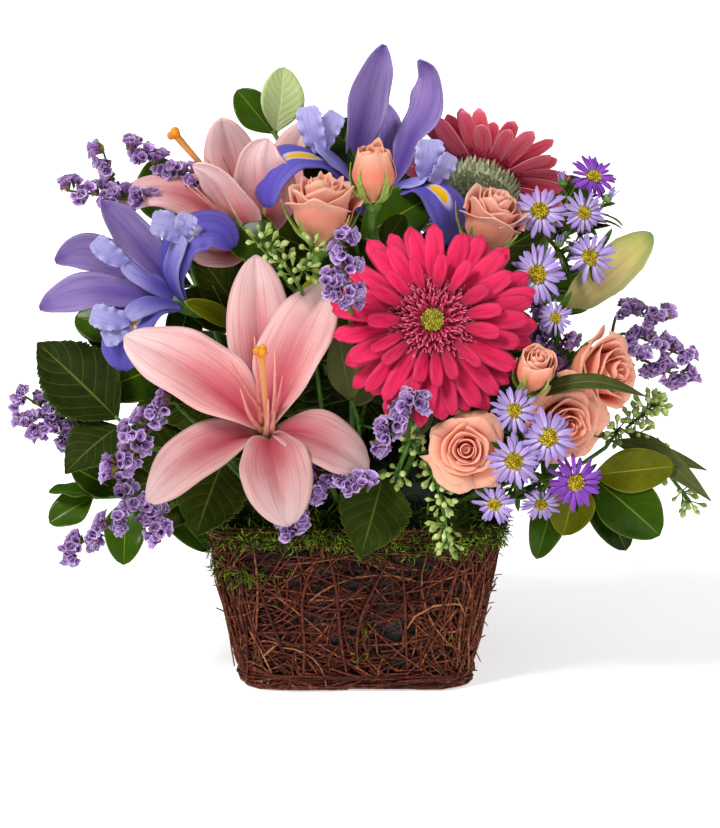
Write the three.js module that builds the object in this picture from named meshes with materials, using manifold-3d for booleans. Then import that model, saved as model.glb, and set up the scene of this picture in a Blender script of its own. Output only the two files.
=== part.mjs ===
// A florist's arrangement in a square twig basket: lilies, irises, gerberas, spray roses, asters, statice,
// seeded eucalyptus and mixed leaves, all standing in a block of wet foam.
// Millimetres, +Z up, origin at the middle of the basket's foot, the side that faces out towards -Y.
import * as THREE from "three";
import { mergeVertices } from "three/addons/utils/BufferGeometryUtils.js";
import Module from "manifold-3d";

const wasm = await Module();
wasm.setup();
const { Manifold, Mesh } = wasm;

// Driving dimensions
const BASKET = { foot: 122, mouth: 156, height: 90, wall: 4, floor: 4, corner: 20, rim: 1.2 };
const TWIG = { halfWidth: 2, proud: 1.7, perSide: 6, seed: 7 };
const LINER = { wall: 1.2, clear: 0.6, belowRim: 6 };
const FOAM = { half: 50, top: 120, chamfer: 9 };
const MOSS = { inner: 51, outer: 70, bottom: 80, top: 96 };
const GAP = 0.3;
const BLADE = 0.8;
const STEM_DEPTH = 24;
const STEM_AIM = { share: 0.42, z: 84 };
const LILY = { pistil: 62, throat: 7.4 };
const IRIS = { standardWidth: 24, fallWidth: 26, style: 44, styleWidth: 17 };
const GERBERA = { reach: 47, rayWidth: 9, disc: 15, hub: 13 };
const ASTER = { ray: 11.5, rayWidth: 3.4, disc: 4.6 };
const STATICE = { pitch: 9.2, length: 6.8, mouth: 2.8 };

const DEG = Math.PI / 180;
const UP = new THREE.Vector3(0, 0, 1);
const vec = (p) => (p.isVector3 ? p.clone() : new THREE.Vector3(...p));
const mix = (a, b, t) => vec(a).lerp(vec(b), t);

// Small numbers that look random and are the same on every run.
function randomFrom(seed) {
  let state = seed;
  return () => {
    state = (state * 1664525 + 1013904223) % 4294967296;
    return state / 4294967296;
  };
}

// Turns a closed three.js geometry into a solid for cutting and joining.
function solidOf(geometry) {
  const bare = new THREE.BufferGeometry();
  bare.setAttribute("position", geometry.getAttribute("position"));
  if (geometry.index) bare.setIndex(geometry.index);
  const merged = mergeVertices(bare, 1e-4);
  const vertProperties = Float32Array.from(merged.attributes.position.array);
  const triVerts = Uint32Array.from(merged.index.array);
  return new Manifold(new Mesh({ numProp: 3, vertProperties, triVerts }));
}

function solidFrom(points, faces) {
  const geometry = new THREE.BufferGeometry();
  const flat = points.flatMap((p) => [p.x, p.y, p.z]);
  geometry.setAttribute("position", new THREE.Float32BufferAttribute(flat, 3));
  geometry.setIndex(faces.flat());
  const made = solidOf(geometry);
  if (made.volume() >= 0) return made;
  geometry.setIndex(faces.map(([a, b, c]) => [a, c, b]).flat());
  return solidOf(geometry);
}

// The frame of a petal or leaf: it grows along `out`, and its upper face looks along `up`.
function frameAt(base, out, up) {
  const z = vec(up).normalize();
  const x = vec(out).addScaledVector(z, -vec(out).dot(z)).normalize();
  const y = z.clone().cross(x);
  return new THREE.Matrix4().makeBasis(x, y, z).setPosition(vec(base));
}

// The frame of one petal of a bloom: `azimuth` degrees round the bloom's axis from its `side`.
function petalFrame(bloom, azimuth) {
  const up = vec(bloom.faces).normalize();
  const side = vec(bloom.side).addScaledVector(up, -vec(bloom.side).dot(up)).normalize();
  const out = side.applyAxisAngle(up, azimuth * DEG);
  return frameAt(bloom.at, out, up);
}

// How wide an outline is at t, as a share of its greatest width: a root, a belly at `peak` and a tip.
function outlineAt(t, { root = 0.2, tip = 0.1, peak = 0.5, blunt = 0.7 }) {
  const rising = Math.sin((Math.PI / 2) * Math.min(1, t / peak));
  const falling = Math.cos((Math.PI / 2) * Math.max(0, (t - peak) / (1 - peak)));
  return t < peak ? root + (1 - root) * rising : tip + (1 - tip) * Math.max(0, falling) ** blunt;
}

// The middle surface of a blade. Its spine leaves the bloom's axis by `open` degrees and ends at `close`,
// `late` above 1 keeps the bend for the tip, and `cup` lifts the edges.
function bladeSurface(frame, spec) {
  const { length, width, open = 90, close = 90, late = 1, cup = 0.15, start = 0 } = spec;
  const steps = 24;
  const spine = [new THREE.Vector3(start * Math.sin(open * DEG), 0, start * Math.cos(open * DEG))];
  const slopes = [open];
  for (let i = 1; i <= steps; i += 1) {
    const slope = open + (close - open) * ((i - 0.5) / steps) ** late;
    const step = new THREE.Vector3(Math.sin(slope * DEG), 0, Math.cos(slope * DEG));
    spine.push(spine[i - 1].clone().addScaledVector(step, length / steps));
    slopes.push(open + (close - open) * (i / steps) ** late);
  }
  return (t, s) => {
    const at = Math.min(steps - 1e-6, Math.max(0, t * steps));
    const i = Math.floor(at);
    const p = spine[i].clone().lerp(spine[i + 1], at - i);
    const slope = slopes[i] + (slopes[i + 1] - slopes[i]) * (at - i);
    const half = (width / 2) * outlineAt(t, spec) * (spec.teeth ? 1 + spec.teeth(t) : 1);
    const lift = half * cup * s * s;
    p.y += half * s;
    p.x -= lift * Math.cos(slope * DEG);
    p.z += lift * Math.sin(slope * DEG);
    return p.applyMatrix4(frame);
  };
}

// A surface made solid: `along` by `across` cells, the same split on both faces, and walls round the rim.
// The last argument says whether the root and the tip come to a point.
function sheetSolid(surface, along, across, thickness, grow = 0, [pointedRoot, pointedTip] = [false, false]) {
  const isPoint = (i) => (i === 0 && pointedRoot) || (i === along && pointedTip);
  const grid = [];
  for (let i = 0; i <= along; i += 1) {
    grid.push([]);
    for (let j = 0; j <= across; j += 1) {
      grid[i].push(surface(i / along, isPoint(i) ? 0 : (2 * j) / across - 1));
    }
  }
  const pushed = grid.map((row) => row.map((p) => p.clone()));
  const push = (i, j, k, l) => {
    pushed[i][j].addScaledVector(grid[i][j].clone().sub(grid[k][l]).normalize(), grow);
  };
  for (let i = 0; i <= along; i += 1) {
    if (!isPoint(i)) {
      push(i, 0, i, 1);
      push(i, across, i, across - 1);
    }
  }
  for (let j = 0; j <= across; j += 1) {
    push(0, j, 1, pointedRoot ? across / 2 : j);
    push(along, j, along - 1, pointedTip ? across / 2 : j);
  }
  const points = [];
  const index = [];
  for (const side of [1, -1]) {
    for (let i = 0; i <= along; i += 1) {
      for (let j = 0; j <= across; j += 1) {
        if (isPoint(i) && j) index.push(index[index.length - 1]);
        else {
          const middle = isPoint(i) ? across / 2 : j;
          const alongWay = grid[Math.min(along, i + 1)][middle].clone().sub(grid[Math.max(0, i - 1)][middle]);
          const row = isPoint(i) ? grid[i === 0 ? 1 : along - 1] : grid[i];
          const acrossWay = row[Math.min(across, middle + 1)].clone().sub(row[Math.max(0, middle - 1)]);
          const normal = alongWay.cross(acrossWay).normalize();
          index.push(points.length);
          points.push(pushed[i][j].clone().addScaledVector(normal, side * (thickness / 2 + grow)));
        }
      }
    }
  }
  const at = (side, i, j) => index[side * (along + 1) * (across + 1) + i * (across + 1) + j];
  const faces = [];
  const triangle = (a, b, c) => {
    if (a !== b && b !== c && c !== a) faces.push([a, b, c]);
  };
  const quad = (a, b, c, d) => {
    triangle(a, b, c);
    triangle(a, c, d);
  };
  for (let i = 0; i < along; i += 1) {
    for (let j = 0; j < across; j += 1) {
      quad(at(0, i, j), at(0, i, j + 1), at(0, i + 1, j + 1), at(0, i + 1, j));
      triangle(at(1, i, j), at(1, i + 1, j + 1), at(1, i, j + 1));
      triangle(at(1, i, j), at(1, i + 1, j), at(1, i + 1, j + 1));
    }
    quad(at(0, i, 0), at(0, i + 1, 0), at(1, i + 1, 0), at(1, i, 0));
    quad(at(0, i + 1, across), at(0, i, across), at(1, i, across), at(1, i + 1, across));
  }
  for (let j = 0; j < across; j += 1) {
    if (!pointedRoot) quad(at(0, 0, j + 1), at(0, 0, j), at(1, 0, j), at(1, 0, j + 1));
    if (!pointedTip) quad(at(0, along, j), at(0, along, j + 1), at(1, along, j + 1), at(1, along, j));
  }
  return solidFrom(points, faces);
}

// A stem along a smooth curve through the given points, with `sides` flat sides.
function tubeSolid(path, radius, sides = 5, steps = 4, grow = 0) {
  const points = path.map(vec);
  const last = points.length - 1;
  points[0].addScaledVector(points[0].clone().sub(points[1]).normalize(), grow);
  points[last].addScaledVector(points[last].clone().sub(points[last - 1]).normalize(), grow);
  const section = new THREE.Shape();
  for (let k = 0; k < sides; k += 1) {
    const angle = (2 * Math.PI * k) / sides;
    const r = radius + 1.3 * grow;
    if (k) section.lineTo(r * Math.cos(angle), r * Math.sin(angle));
    else section.moveTo(r, 0);
  }
  const extrudePath = new THREE.CatmullRomCurve3(points, false, "centripetal");
  return solidOf(new THREE.ExtrudeGeometry(section, { steps, bevelEnabled: false, extrudePath }));
}

// A stem with flared florets on it. Every side of every step past `bare` may carry one: `bears` says which,
// from the step, the side and the way that side faces. Each floret leans towards the stem's end.
function spikeSolid(path, radius, spec, grow = 0) {
  const { sides = 3, steps, bare, bears, length, mouth } = spec;
  const curve = new THREE.CatmullRomCurve3(path.map(vec), false, "centripetal");
  const { tangents, normals, binormals } = curve.computeFrenetFrames(steps, false);
  const centres = tangents.map((_, i) => curve.getPointAt(i / steps));
  const points = centres.flatMap((centre, i) =>
    Array.from({ length: sides }, (_, k) => {
      const angle = (2 * Math.PI * k) / sides;
      const offset = normals[i].clone().multiplyScalar(Math.cos(angle));
      offset.addScaledVector(binormals[i], Math.sin(angle));
      const end = i === 0 ? -grow : i === steps ? grow : 0;
      return centre.clone().addScaledVector(offset, radius + 1.6 * grow).addScaledVector(tangents[i], end);
    }));
  const faces = [];
  const quad = (a, b, c, d) => faces.push([a, b, c], [a, c, d]);
  for (let i = 0; i < steps; i += 1) {
    for (let k = 0; k < sides; k += 1) {
      const next = (k + 1) % sides;
      const ring = [i * sides + k, i * sides + next, (i + 1) * sides + next, (i + 1) * sides + k];
      const middle = ring.reduce((sum, a) => sum.add(points[a]), new THREE.Vector3()).divideScalar(4);
      const out = middle.clone().sub(mix(centres[i], centres[i + 1], 0.5)).normalize();
      if (i / steps < bare || !bears(i, k, out)) quad(...ring);
      else {
        const way = out.clone().addScaledVector(tangents[i], 0.8).normalize();
        const across = out.clone().cross(tangents[i]).normalize();
        const rise = way.clone().cross(across).normalize();
        const size = mouth + 1.4 * grow;
        const uneven = 0.88 + (0.24 * ((i * 5 + k * 3) % 4)) / 3;
        const end = middle.clone().addScaledVector(way, length * uneven + grow);
        const first = points.length;
        for (const a of ring) {
          const offset = points[a].clone().sub(middle);
          const x = Math.sign(offset.dot(across)) * size;
          const y = Math.sign(offset.dot(rise)) * size;
          points.push(end.clone().addScaledVector(across, x).addScaledVector(rise, y));
        }
        ring.forEach((a, j) => quad(a, ring[(j + 1) % 4], first + ((j + 1) % 4), first + j));
        quad(first, first + 1, first + 2, first + 3);
      }
    }
  }
  for (let k = 1; k < sides - 1; k += 1) {
    faces.push([0, k + 1, k], [steps * sides, steps * sides + k, steps * sides + k + 1]);
  }
  return solidFrom(points, faces);
}

// A turned piece along `way` from `base`: `profile` is a list of [radius, height], both ends on the axis.
function turnedSolid(base, way, profile, sides = 6, grow = 0) {
  const last = profile.length - 1;
  const points = profile.map(([r, h], i) => {
    const end = i === 0 ? -1 : i === last ? 1 : 0;
    return new THREE.Vector2(end ? 0 : r + 1.2 * grow, h + 1.2 * grow * end);
  });
  const lathe = new THREE.LatheGeometry(points, sides);
  const turn = new THREE.Quaternion().setFromUnitVectors(new THREE.Vector3(0, 1, 0), vec(way).normalize());
  lathe.applyQuaternion(turn).translate(...vec(base).toArray());
  const made = solidOf(lathe);
  if (made.volume() >= 0) return made;
  const index = Array.from(lathe.index.array);
  for (let i = 0; i < index.length; i += 3) [index[i + 1], index[i + 2]] = [index[i + 2], index[i + 1]];
  return solidOf(lathe.setIndex(index));
}

// A ring of rays in one piece, like a daisy's. The rays part at `inner`, are `width` wide at `middle` and end
// at `tip`, each a [radius, height] on the bloom's axis, and their broad faces follow the circle. `second`
// holds what every other ray has otherwise. A ray is `ridge` thick at its middle, and `edge` above 0 gives it
// a square rim. `flat` leaves the underside without a ridge. `crown` and `under` are the hub's two ends.
function starSolid(bloom, spec, grow = 0) {
  const { count, turn = 0, edge = 0, flat = false, crown = 1, under = -1, uneven = 0.06, second = {} } = spec;
  const frame = petalFrame(bloom, turn);
  const points = [];
  const rays = Array.from({ length: count }, (_, k) => {
    const { inner, middle, tip, width, blunt = 0, ridge = 0.5 } = k % 2 ? { ...spec, ...second } : spec;
    const slope = new THREE.Vector2(tip[0] - inner[0], tip[1] - inner[1]).normalize();
    const spread = edge ? grow : grow * (1 + width / 5);
    const half = width / 2 + spread;
    const angle = (2 * Math.PI * k) / count;
    const add = (r, h, turned, side, lift) => {
      const radius = r - slope.y * lift;
      const a = turned + side / Math.max(r, 0.5);
      const p = new THREE.Vector3(radius * Math.cos(a), radius * Math.sin(a), h + slope.x * lift);
      points.push(p.applyMatrix4(frame));
      return points.length - 1;
    };
    const reach = 1 + uneven * Math.sin(2.7 * k);
    const end = new THREE.Vector2(tip[0] * reach, tip[1]).addScaledVector(slope, spread);
    const tips = blunt ? [-blunt * half, blunt * half] : [0];
    const outline = (lift) => [
      add(spec.inner[0], spec.inner[1], angle - Math.PI / count, 0, lift),
      add(...middle, angle, -half, lift),
      ...tips.map((side) => add(end.x, end.y, angle, side, lift)),
      add(...middle, angle, half, lift),
    ];
    const rimLift = edge ? edge + grow : flat ? 1.2 * grow : 0;
    const upper = outline(rimLift);
    const lower = rimLift ? outline(-rimLift) : upper;
    const above = add(...middle, angle, 0, ridge + 1.5 * grow);
    const below = flat ? null : add(...middle, angle, 0, -ridge - 1.5 * grow);
    return { upper, lower, above, below };
  });
  points.push(new THREE.Vector3(0, 0, crown + 1.3 * grow).applyMatrix4(frame));
  points.push(new THREE.Vector3(0, 0, under - 1.3 * grow).applyMatrix4(frame));
  const top = points.length - 2;
  const bottom = points.length - 1;
  const faces = rays.flatMap(({ upper, lower, above, below }, k) => {
    const next = rays[(k + 1) % count];
    const high = [...upper, next.upper[0], top];
    const low = [...lower, next.lower[0], bottom];
    const fan = high.map((a, i) => [a, high[(i + 1) % high.length], above]);
    const [notch, left, ...others] = lower;
    const right = lower[lower.length - 1];
    const level = [
      [bottom, next.lower[0], notch],
      [left, notch, next.lower[0]],
      [left, next.lower[0], right],
      ...others.slice(0, -1).map((a, i) => [left, others[i + 1], a]),
    ];
    const keeled = low.map((a, i) => [low[(i + 1) % low.length], a, below]);
    const rim = high.slice(0, -2).flatMap((a, i) => [
      [a, low[i], low[i + 1]],
      [a, low[i + 1], high[i + 1]],
    ]);
    return [...fan, ...(flat ? level : keeled), ...(upper === lower ? [] : rim)];
  });
  return solidFrom(points, faces);
}

// The node list. `main` is the stem or other piece that nothing may cut, and `rest` is what gives way to a
// neighbour. Each entry is a function of `grow`: 0 makes the real solid, GAP makes its clearance.
const parts = [];
function part(name, finish, main, rest = []) {
  parts.push({ name, finish, main, rest });
}

// Where a stem ends: straight on towards a point on its own side of the foam, STEM_DEPTH past its face.
function foamEnd(from) {
  const aim = vec(from).multiplyScalar(STEM_AIM.share).setZ(STEM_AIM.z);
  const way = aim.sub(vec(from)).normalize();
  const p = vec(from);
  const outside = () => Math.abs(p.x) > FOAM.half || Math.abs(p.y) > FOAM.half || p.z > FOAM.top;
  while (outside()) p.addScaledVector(way, 0.5);
  return p.addScaledVector(way, STEM_DEPTH);
}

const stem = (path, radius, steps = 3, sides = 3) => (grow) => tubeSolid(path, radius, sides, steps, grow);
const rooted = (points, radius, steps = 3, sides = 3) =>
  stem([foamEnd(points[0]), ...points], radius, steps, sides);
const spike = (path, radius, spec) => (grow) => spikeSolid(path, radius, spec, grow);
const star = (bloom, spec) => (grow) => starSolid(bloom, spec, grow);
const behind = (bloom, distance) => vec(bloom.at).addScaledVector(vec(bloom.faces).normalize(), -distance);
const petal = (frame, spec, along = 5, across = 2) => (grow) =>
  sheetSolid(bladeSurface(frame, spec), along, across, BLADE, grow, [spec.root === 0, spec.tip === 0]);
const turned = (base, way, profile, sides = 6) => (grow) => turnedSolid(base, way, profile, sides, grow);

// A leaf from its base to its tip, its upper face looking along `face`.
function leaf([base, tip, face, width, spec = {}]) {
  const chord = vec(tip).sub(vec(base));
  const bend = spec.bend ?? 30;
  const arch = (bend * DEG) / 2;
  const length = (chord.length() * arch) / Math.sin(arch);
  const frame = frameAt(base, chord, face);
  const shape = { root: 0, tip: 0, peak: 0.5, blunt: 0.6, cup: 0.18, ...spec };
  const rows = spec.rows ?? 3;
  return petal(frame, { ...shape, length, width, open: 90 - bend / 2, close: 90 + bend / 2 }, rows);
}

// Saw teeth along a rose leaf's edge: every second row of the outline steps in.
const LEAF_ROWS = 5;
const sawn = (t) => (Math.round(t * LEAF_ROWS) % 2 ? 0.1 : -0.04);
const roseLeaf = ([base, tip, face, width, spec = {}]) =>
  leaf([base, tip, face, width, { peak: 0.42, blunt: 0.9, rows: LEAF_ROWS, teeth: sawn, ...spec }]);

// Where on some stems the growth nearest to each of the given points starts. No two starts are closer than 4.
function startsOn(stems, targets) {
  const free = stems.flatMap(({ path, steps }) => {
    const rings = new THREE.CatmullRomCurve3(path.map(vec), false, "centripetal").getSpacedPoints(steps);
    return rings.slice(1).flatMap((ring, i) => [0.1, 0.3, 0.5, 0.7, 0.9].map((t) => mix(rings[i], ring, t)));
  });
  const taken = [];
  return targets.map((target) => {
    const open = free.filter((p) => taken.every((q) => q.distanceTo(p) > 4));
    const start = open.reduce((a, b) => (b.distanceTo(vec(target)) < a.distanceTo(vec(target)) ? b : a));
    taken.push(start);
    return start;
  });
}

// Colours and finishes
const paint = (color, roughness = 0.6) => new THREE.MeshStandardMaterial({ color, roughness, metalness: 0 });
const FINISH = {
  twig: paint(0x5b3424, 0.85),
  liner: paint(0x2c2d2e, 0.5),
  foam: paint(0x3c5a34, 0.95),
  moss: paint(0x4f6b1f, 0.95),
  stem: paint(0x5f8a34, 0.6),
  lily: paint(0xeda3a0, 0.5),
  pistil: paint(0xe6b45c, 0.5),
  bud: paint(0xc3bf6f, 0.5),
  iris: paint(0x7468bb, 0.5),
  gerbera: paint(0xd9245f, 0.55),
  gerberaDisc: paint(0xa8213f, 0.8),
  rose: paint(0xf0a284, 0.55),
  aster: paint(0x9d86cf, 0.6),
  statice: paint(0x8470bd, 0.8),
  seed: paint(0x9fae6a, 0.6),
  glossyLeaf: paint(0x2f5f1c, 0.35),
  roseLeaf: paint(0x2a4a1e, 0.5),
};

// Basket: a square tapered wall with rounded corners and a floor, and twigs laid over it in relief
function roundedSquare(half, corner, z, points = 3) {
  const ring = [];
  const inner = half - corner;
  [[1, 1], [-1, 1], [-1, -1], [1, -1]].forEach(([sx, sy], quarter) => {
    for (let k = 0; k <= points; k += 1) {
      const a = ((quarter + k / points) * Math.PI) / 2;
      ring.push(new THREE.Vector3(sx * inner + corner * Math.cos(a), sy * inner + corner * Math.sin(a), z));
    }
  });
  return ring;
}

// A solid through rings of the same length, one above the other, closed at both ends.
function stackSolid(rings) {
  const n = rings[0].length;
  const points = rings.flat();
  const faces = [];
  for (let i = 0; i < rings.length - 1; i += 1) {
    for (let k = 0; k < n; k += 1) {
      const a = i * n + k;
      const b = i * n + ((k + 1) % n);
      faces.push([a, b, b + n], [a, b + n, a + n]);
    }
  }
  const last = (rings.length - 1) * n;
  for (let k = 1; k < n - 1; k += 1) faces.push([0, k + 1, k], [last, last + k, last + k + 1]);
  return solidFrom(points, faces);
}

const halfAt = (z) => (BASKET.foot + (BASKET.mouth - BASKET.foot) * (z / BASKET.height)) / 2;
function wallRings(inset, low, high, grow = 0) {
  const corner = BASKET.corner - inset + grow;
  return [low - grow, high + grow].map((z) => roundedSquare(halfAt(z) - inset + grow, corner, z));
}

// Main twigs, raised on the four flat sides. Each is a low ridge, and neighbours slant opposite ways.
function ridgeSolid(from, to, out, grow) {
  const along = to.clone().sub(from);
  const across = out.clone().cross(along).setLength(TWIG.halfWidth + grow);
  const sunk = out.clone().multiplyScalar(-0.6);
  const proud = out.clone().multiplyScalar(TWIG.proud + grow);
  const foot = [from.clone().sub(across), from.clone().add(across), to.clone().add(across), to.clone().sub(across)];
  const crest = [mix(from, to, 0.05), mix(from, to, 0.95)].map((p) => p.add(proud));
  const faces = [[0, 1, 2], [0, 2, 3], [0, 4, 1], [3, 2, 5], [0, 3, 5], [0, 5, 4], [1, 4, 5], [1, 5, 2]];
  return solidFrom([...foot.map((p) => p.add(sunk)), ...crest], faces);
}
function basketTwigs(grow) {
  const random = randomFrom(TWIG.seed);
  const onSide = (side, share, z) => {
    const p = new THREE.Vector3(share * (halfAt(z) - BASKET.corner), -halfAt(z), z);
    return p.applyAxisAngle(UP, (side * Math.PI) / 2);
  };
  return [0, 1, 2, 3].flatMap((side) =>
    Array.from({ length: TWIG.perSide }, (_, k) => {
      const share = 1.06 * ((2 * k + 1) / TWIG.perSide - 1);
      const lean = (((k + side) % 2 ? 1 : -1) * (0.45 + 0.45 * random())) / TWIG.perSide;
      const low = 7 + 14 * random();
      const high = 82 - 14 * random();
      const out = new THREE.Vector3(0, -1, 0).applyAxisAngle(UP, (side * Math.PI) / 2);
      return ridgeSolid(onSide(side, share - lean, low), onSide(side, share + lean, high), out, grow);
    }));
}

// The wall from the foot ring to the rim, where bundled twigs stand proud of it
function basketWall(grow) {
  const { height, corner, rim } = BASKET;
  const rows = [[0, rim], [3, rim], [5, 0], [height - 7, 0], [height - 5, rim], [height, rim]];
  return stackSolid(rows.map(([z, proud], i) => {
    const out = proud + grow;
    const level = z + (i === 0 ? -grow : i === rows.length - 1 ? grow : 0);
    return roundedSquare(halfAt(z) + out, corner + out, level);
  }));
}

const hollow = (grow) => stackSolid(wallRings(BASKET.wall, BASKET.floor, BASKET.height + 5, -grow));
part("basket", FINISH.twig, [(grow) =>
  Manifold.union([basketWall(grow), ...basketTwigs(grow)]).subtract(hollow(grow))]);

const linerInset = BASKET.wall + LINER.clear;
const linerTop = BASKET.height - LINER.belowRim;
const linerFloor = BASKET.floor + LINER.clear;
part("liner", FINISH.liner, [(grow) =>
  stackSolid(wallRings(linerInset, linerFloor, linerTop, Math.min(grow, LINER.clear / 2))).subtract(
    stackSolid(wallRings(linerInset + LINER.wall, linerFloor + LINER.wall, linerTop + 5, -grow)))]);

// Foam: a block with cut corners at the top, standing on the liner's floor
function foamSolid(grow) {
  const { half, top, chamfer } = FOAM;
  const low = linerFloor + LINER.wall + GAP;
  const rings = [[half, low - grow], [half + grow, top - chamfer], [half - chamfer, top + grow]];
  return stackSolid(rings.map(([h, z]) => roundedSquare(h, 8, z, 1)));
}

// Moss: a lumpy roll between the foam and the rim
function mossSolid(grow) {
  const random = randomFrom(11);
  const { outer, inner, bottom, top } = MOSS;
  const rows = [[outer, bottom], [outer + 3, top - 8], [outer - 8, top], [inner, top - 2]];
  const rings = rows.map(([half, z]) =>
    roundedSquare(half, 16, z, 1).map((p) => {
      const lump = 2.4 * (random() - 0.5) + grow;
      return p.multiply(new THREE.Vector3(1 + lump / half, 1 + lump / half, 1)).setZ(z + lump);
    }));
  return stackSolid(rings);
}

// Lilies: six long petals in a funnel, a pistil with its filaments, and a stem.
// A petal is its azimuth, its width, its length and the slope at its tip.
const LILIES = {
  front_lily: {
    bloom: { at: [-44, -84, 143], faces: [-0.1, -0.68, 0.73], side: [1, 0, 0] },
    lean: [-1, 1, 2],
    rows: 5,
    petals: [
      [63, 40, 90, 92],
      [96, 36, 96, 84],
      [154, 44, 96, 86],
      [228, 38, 84, 102],
      [279, 42, 78, 120],
      [324, 38, 76, 112],
    ],
  },
  back_lily: {
    bloom: { at: [-49, -22, 236], faces: [-0.66, -0.3, 0.69], side: [0.75, -0.1, 0.66] },
    lean: [1, -2, 3],
    rows: 4,
    petals: [
      [20, 38, 68, 112],
      [78, 34, 82, 92],
      [140, 40, 88, 96],
      [197, 36, 62, 60],
      [262, 44, 76, 118],
      [318, 38, 70, 116],
    ],
  },
};
function lilyPetals(bloom, petals, rows) {
  const heart = turned(behind(bloom, 2), bloom.faces, [[0, 0], [LILY.throat, 8], [0, 13]]);
  const blades = petals.map(([azimuth, width, length, close], i) => {
    const whorl = i % 2 ? { open: 40, cup: -0.04 } : { open: 27, cup: 0.24 };
    const spec = { length, width, close, late: 0.85, root: 0, tip: 0, peak: 0.5, blunt: 0.6, start: 5 };
    return petal(petalFrame(bloom, azimuth), { ...spec, ...whorl }, rows);
  });
  return [heart, ...blades];
}
const FILAMENTS = { count: 5, turn: 20, inner: [2, 14], middle: [6.5, 30], tip: [14, 47], width: 1.8 };
const STIGMA = { count: 3, inner: [1.4, 0.2], middle: [2.6, 0.4], tip: [4.2, 0.2], width: 3.2 };
function lilyPistil(bloom, lean) {
  const foot = behind(bloom, -11.3);
  const tip = behind(bloom, -LILY.pistil).add(vec(lean));
  const path = [foot, mix(foot, tip, 0.5).addScaledVector(vec(lean), -0.2), tip];
  const head = { at: tip, faces: bloom.faces, side: bloom.side };
  return [
    stem(path, 1.4, 2, 4),
    star(head, { ...STIGMA, ridge: 0.9, crown: 1.4, under: -2.5 }),
    star(bloom, { ...FILAMENTS, ridge: 0.8, crown: 16, under: 11.3 }),
  ];
}
Object.entries(LILIES).forEach(([name, { bloom, lean, petals, rows }]) => {
  part(name + "_stem", FINISH.stem, [rooted([behind(bloom, 22), behind(bloom, 2.4)], 3, 3, 4)]);
  part(name + "_pistil", FINISH.pistil, [], lilyPistil(bloom, lean));
  part(name + "_petals", FINISH.lily, [], lilyPetals(bloom, petals, rows));
});

// Lily bud: a ribbed spindle of closed petals on its stem
const BUD = { fork: [102, -34, 189], base: [110, -44, 202], tip: [152, -55, 243], girth: 11 };
const BUD_SHAPE = [[4, 0], [8.6, 0.2], [BUD.girth, 0.55], [8.4, 0.84], [3.6, 0.98]];
function budSolid(grow) {
  const axis = vec(BUD.tip).sub(vec(BUD.base));
  const length = axis.length();
  const profile = [[0, -1], ...BUD_SHAPE.map(([r, share]) => [r, share * length]), [0, length]];
  return turnedSolid(BUD.base, axis, profile, 9, grow);
}
part("lily_bud", FINISH.bud, [rooted([BUD.fork, BUD.base], 2.4, 3, 4)], [budSolid]);

// Irises: three upright standards, three falls that arch out and droop, and a crested style over each fall.
// A standard is its azimuth, its length and how far it leans out, and a fall is its azimuth and its length.
const IRISES = {
  top_iris: {
    bloom: { at: [17, -12, 255], faces: [0.02, -0.16, 1], side: [-1, -0.1, 0] },
    standards: [[28, 84, 0], [172, 76, 12], [285, 62, 6]],
    falls: [[0, 86], [122, 70], [250, 70]],
  },
  left_iris: {
    bloom: { at: [-91, -44, 205], faces: [-0.78, -0.42, 0.42], side: [0.42, -0.1, 0.9] },
    standards: [[48, 66, 26], [150, 74, 34], [285, 64, 30]],
    falls: [[5, 66], [128, 68], [245, 66]],
  },
};
function irisPetals(bloom, standards, falls) {
  const heart = turned(bloom.at, bloom.faces, [[0, -6], [5, 1], [0, 10]]);
  const upright = standards.map(([azimuth, length, lean]) => {
    const shape = { root: 0, tip: 0.24, peak: 0.68, blunt: 0.5, cup: 0.2, start: 3.5 };
    const slopes = { open: 16 + lean, close: 10 + lean };
    return petal(petalFrame(bloom, azimuth), { ...shape, ...slopes, length, width: IRIS.standardWidth }, 3);
  });
  const drooping = falls.map(([azimuth, length]) => {
    const shape = { root: 0, tip: 0.3, peak: 0.72, blunt: 0.5, cup: -0.12, start: 3 };
    const slopes = { open: 50, close: 166, late: 1.9 };
    return petal(petalFrame(bloom, azimuth), { ...shape, ...slopes, length, width: IRIS.fallWidth }, 4);
  });
  const styles = falls.map(([azimuth]) => {
    const shape = { root: 0, tip: 0.7, peak: 0.75, blunt: 0.6, cup: -0.2, start: 4 };
    const size = { length: IRIS.style, width: IRIS.styleWidth };
    return petal(petalFrame(bloom, azimuth), { ...shape, ...size, open: 30, close: 38 }, 2);
  });
  return [heart, ...upright, ...drooping, ...styles];
}
Object.entries(IRISES).forEach(([name, { bloom, standards, falls }]) => {
  part(name + "_stem", FINISH.stem, [rooted([behind(bloom, 34), behind(bloom, 6.6)], 3, 3, 4)]);
  part(name + "_petals", FINISH.iris, [], irisPetals(bloom, standards, falls));
});

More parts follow.
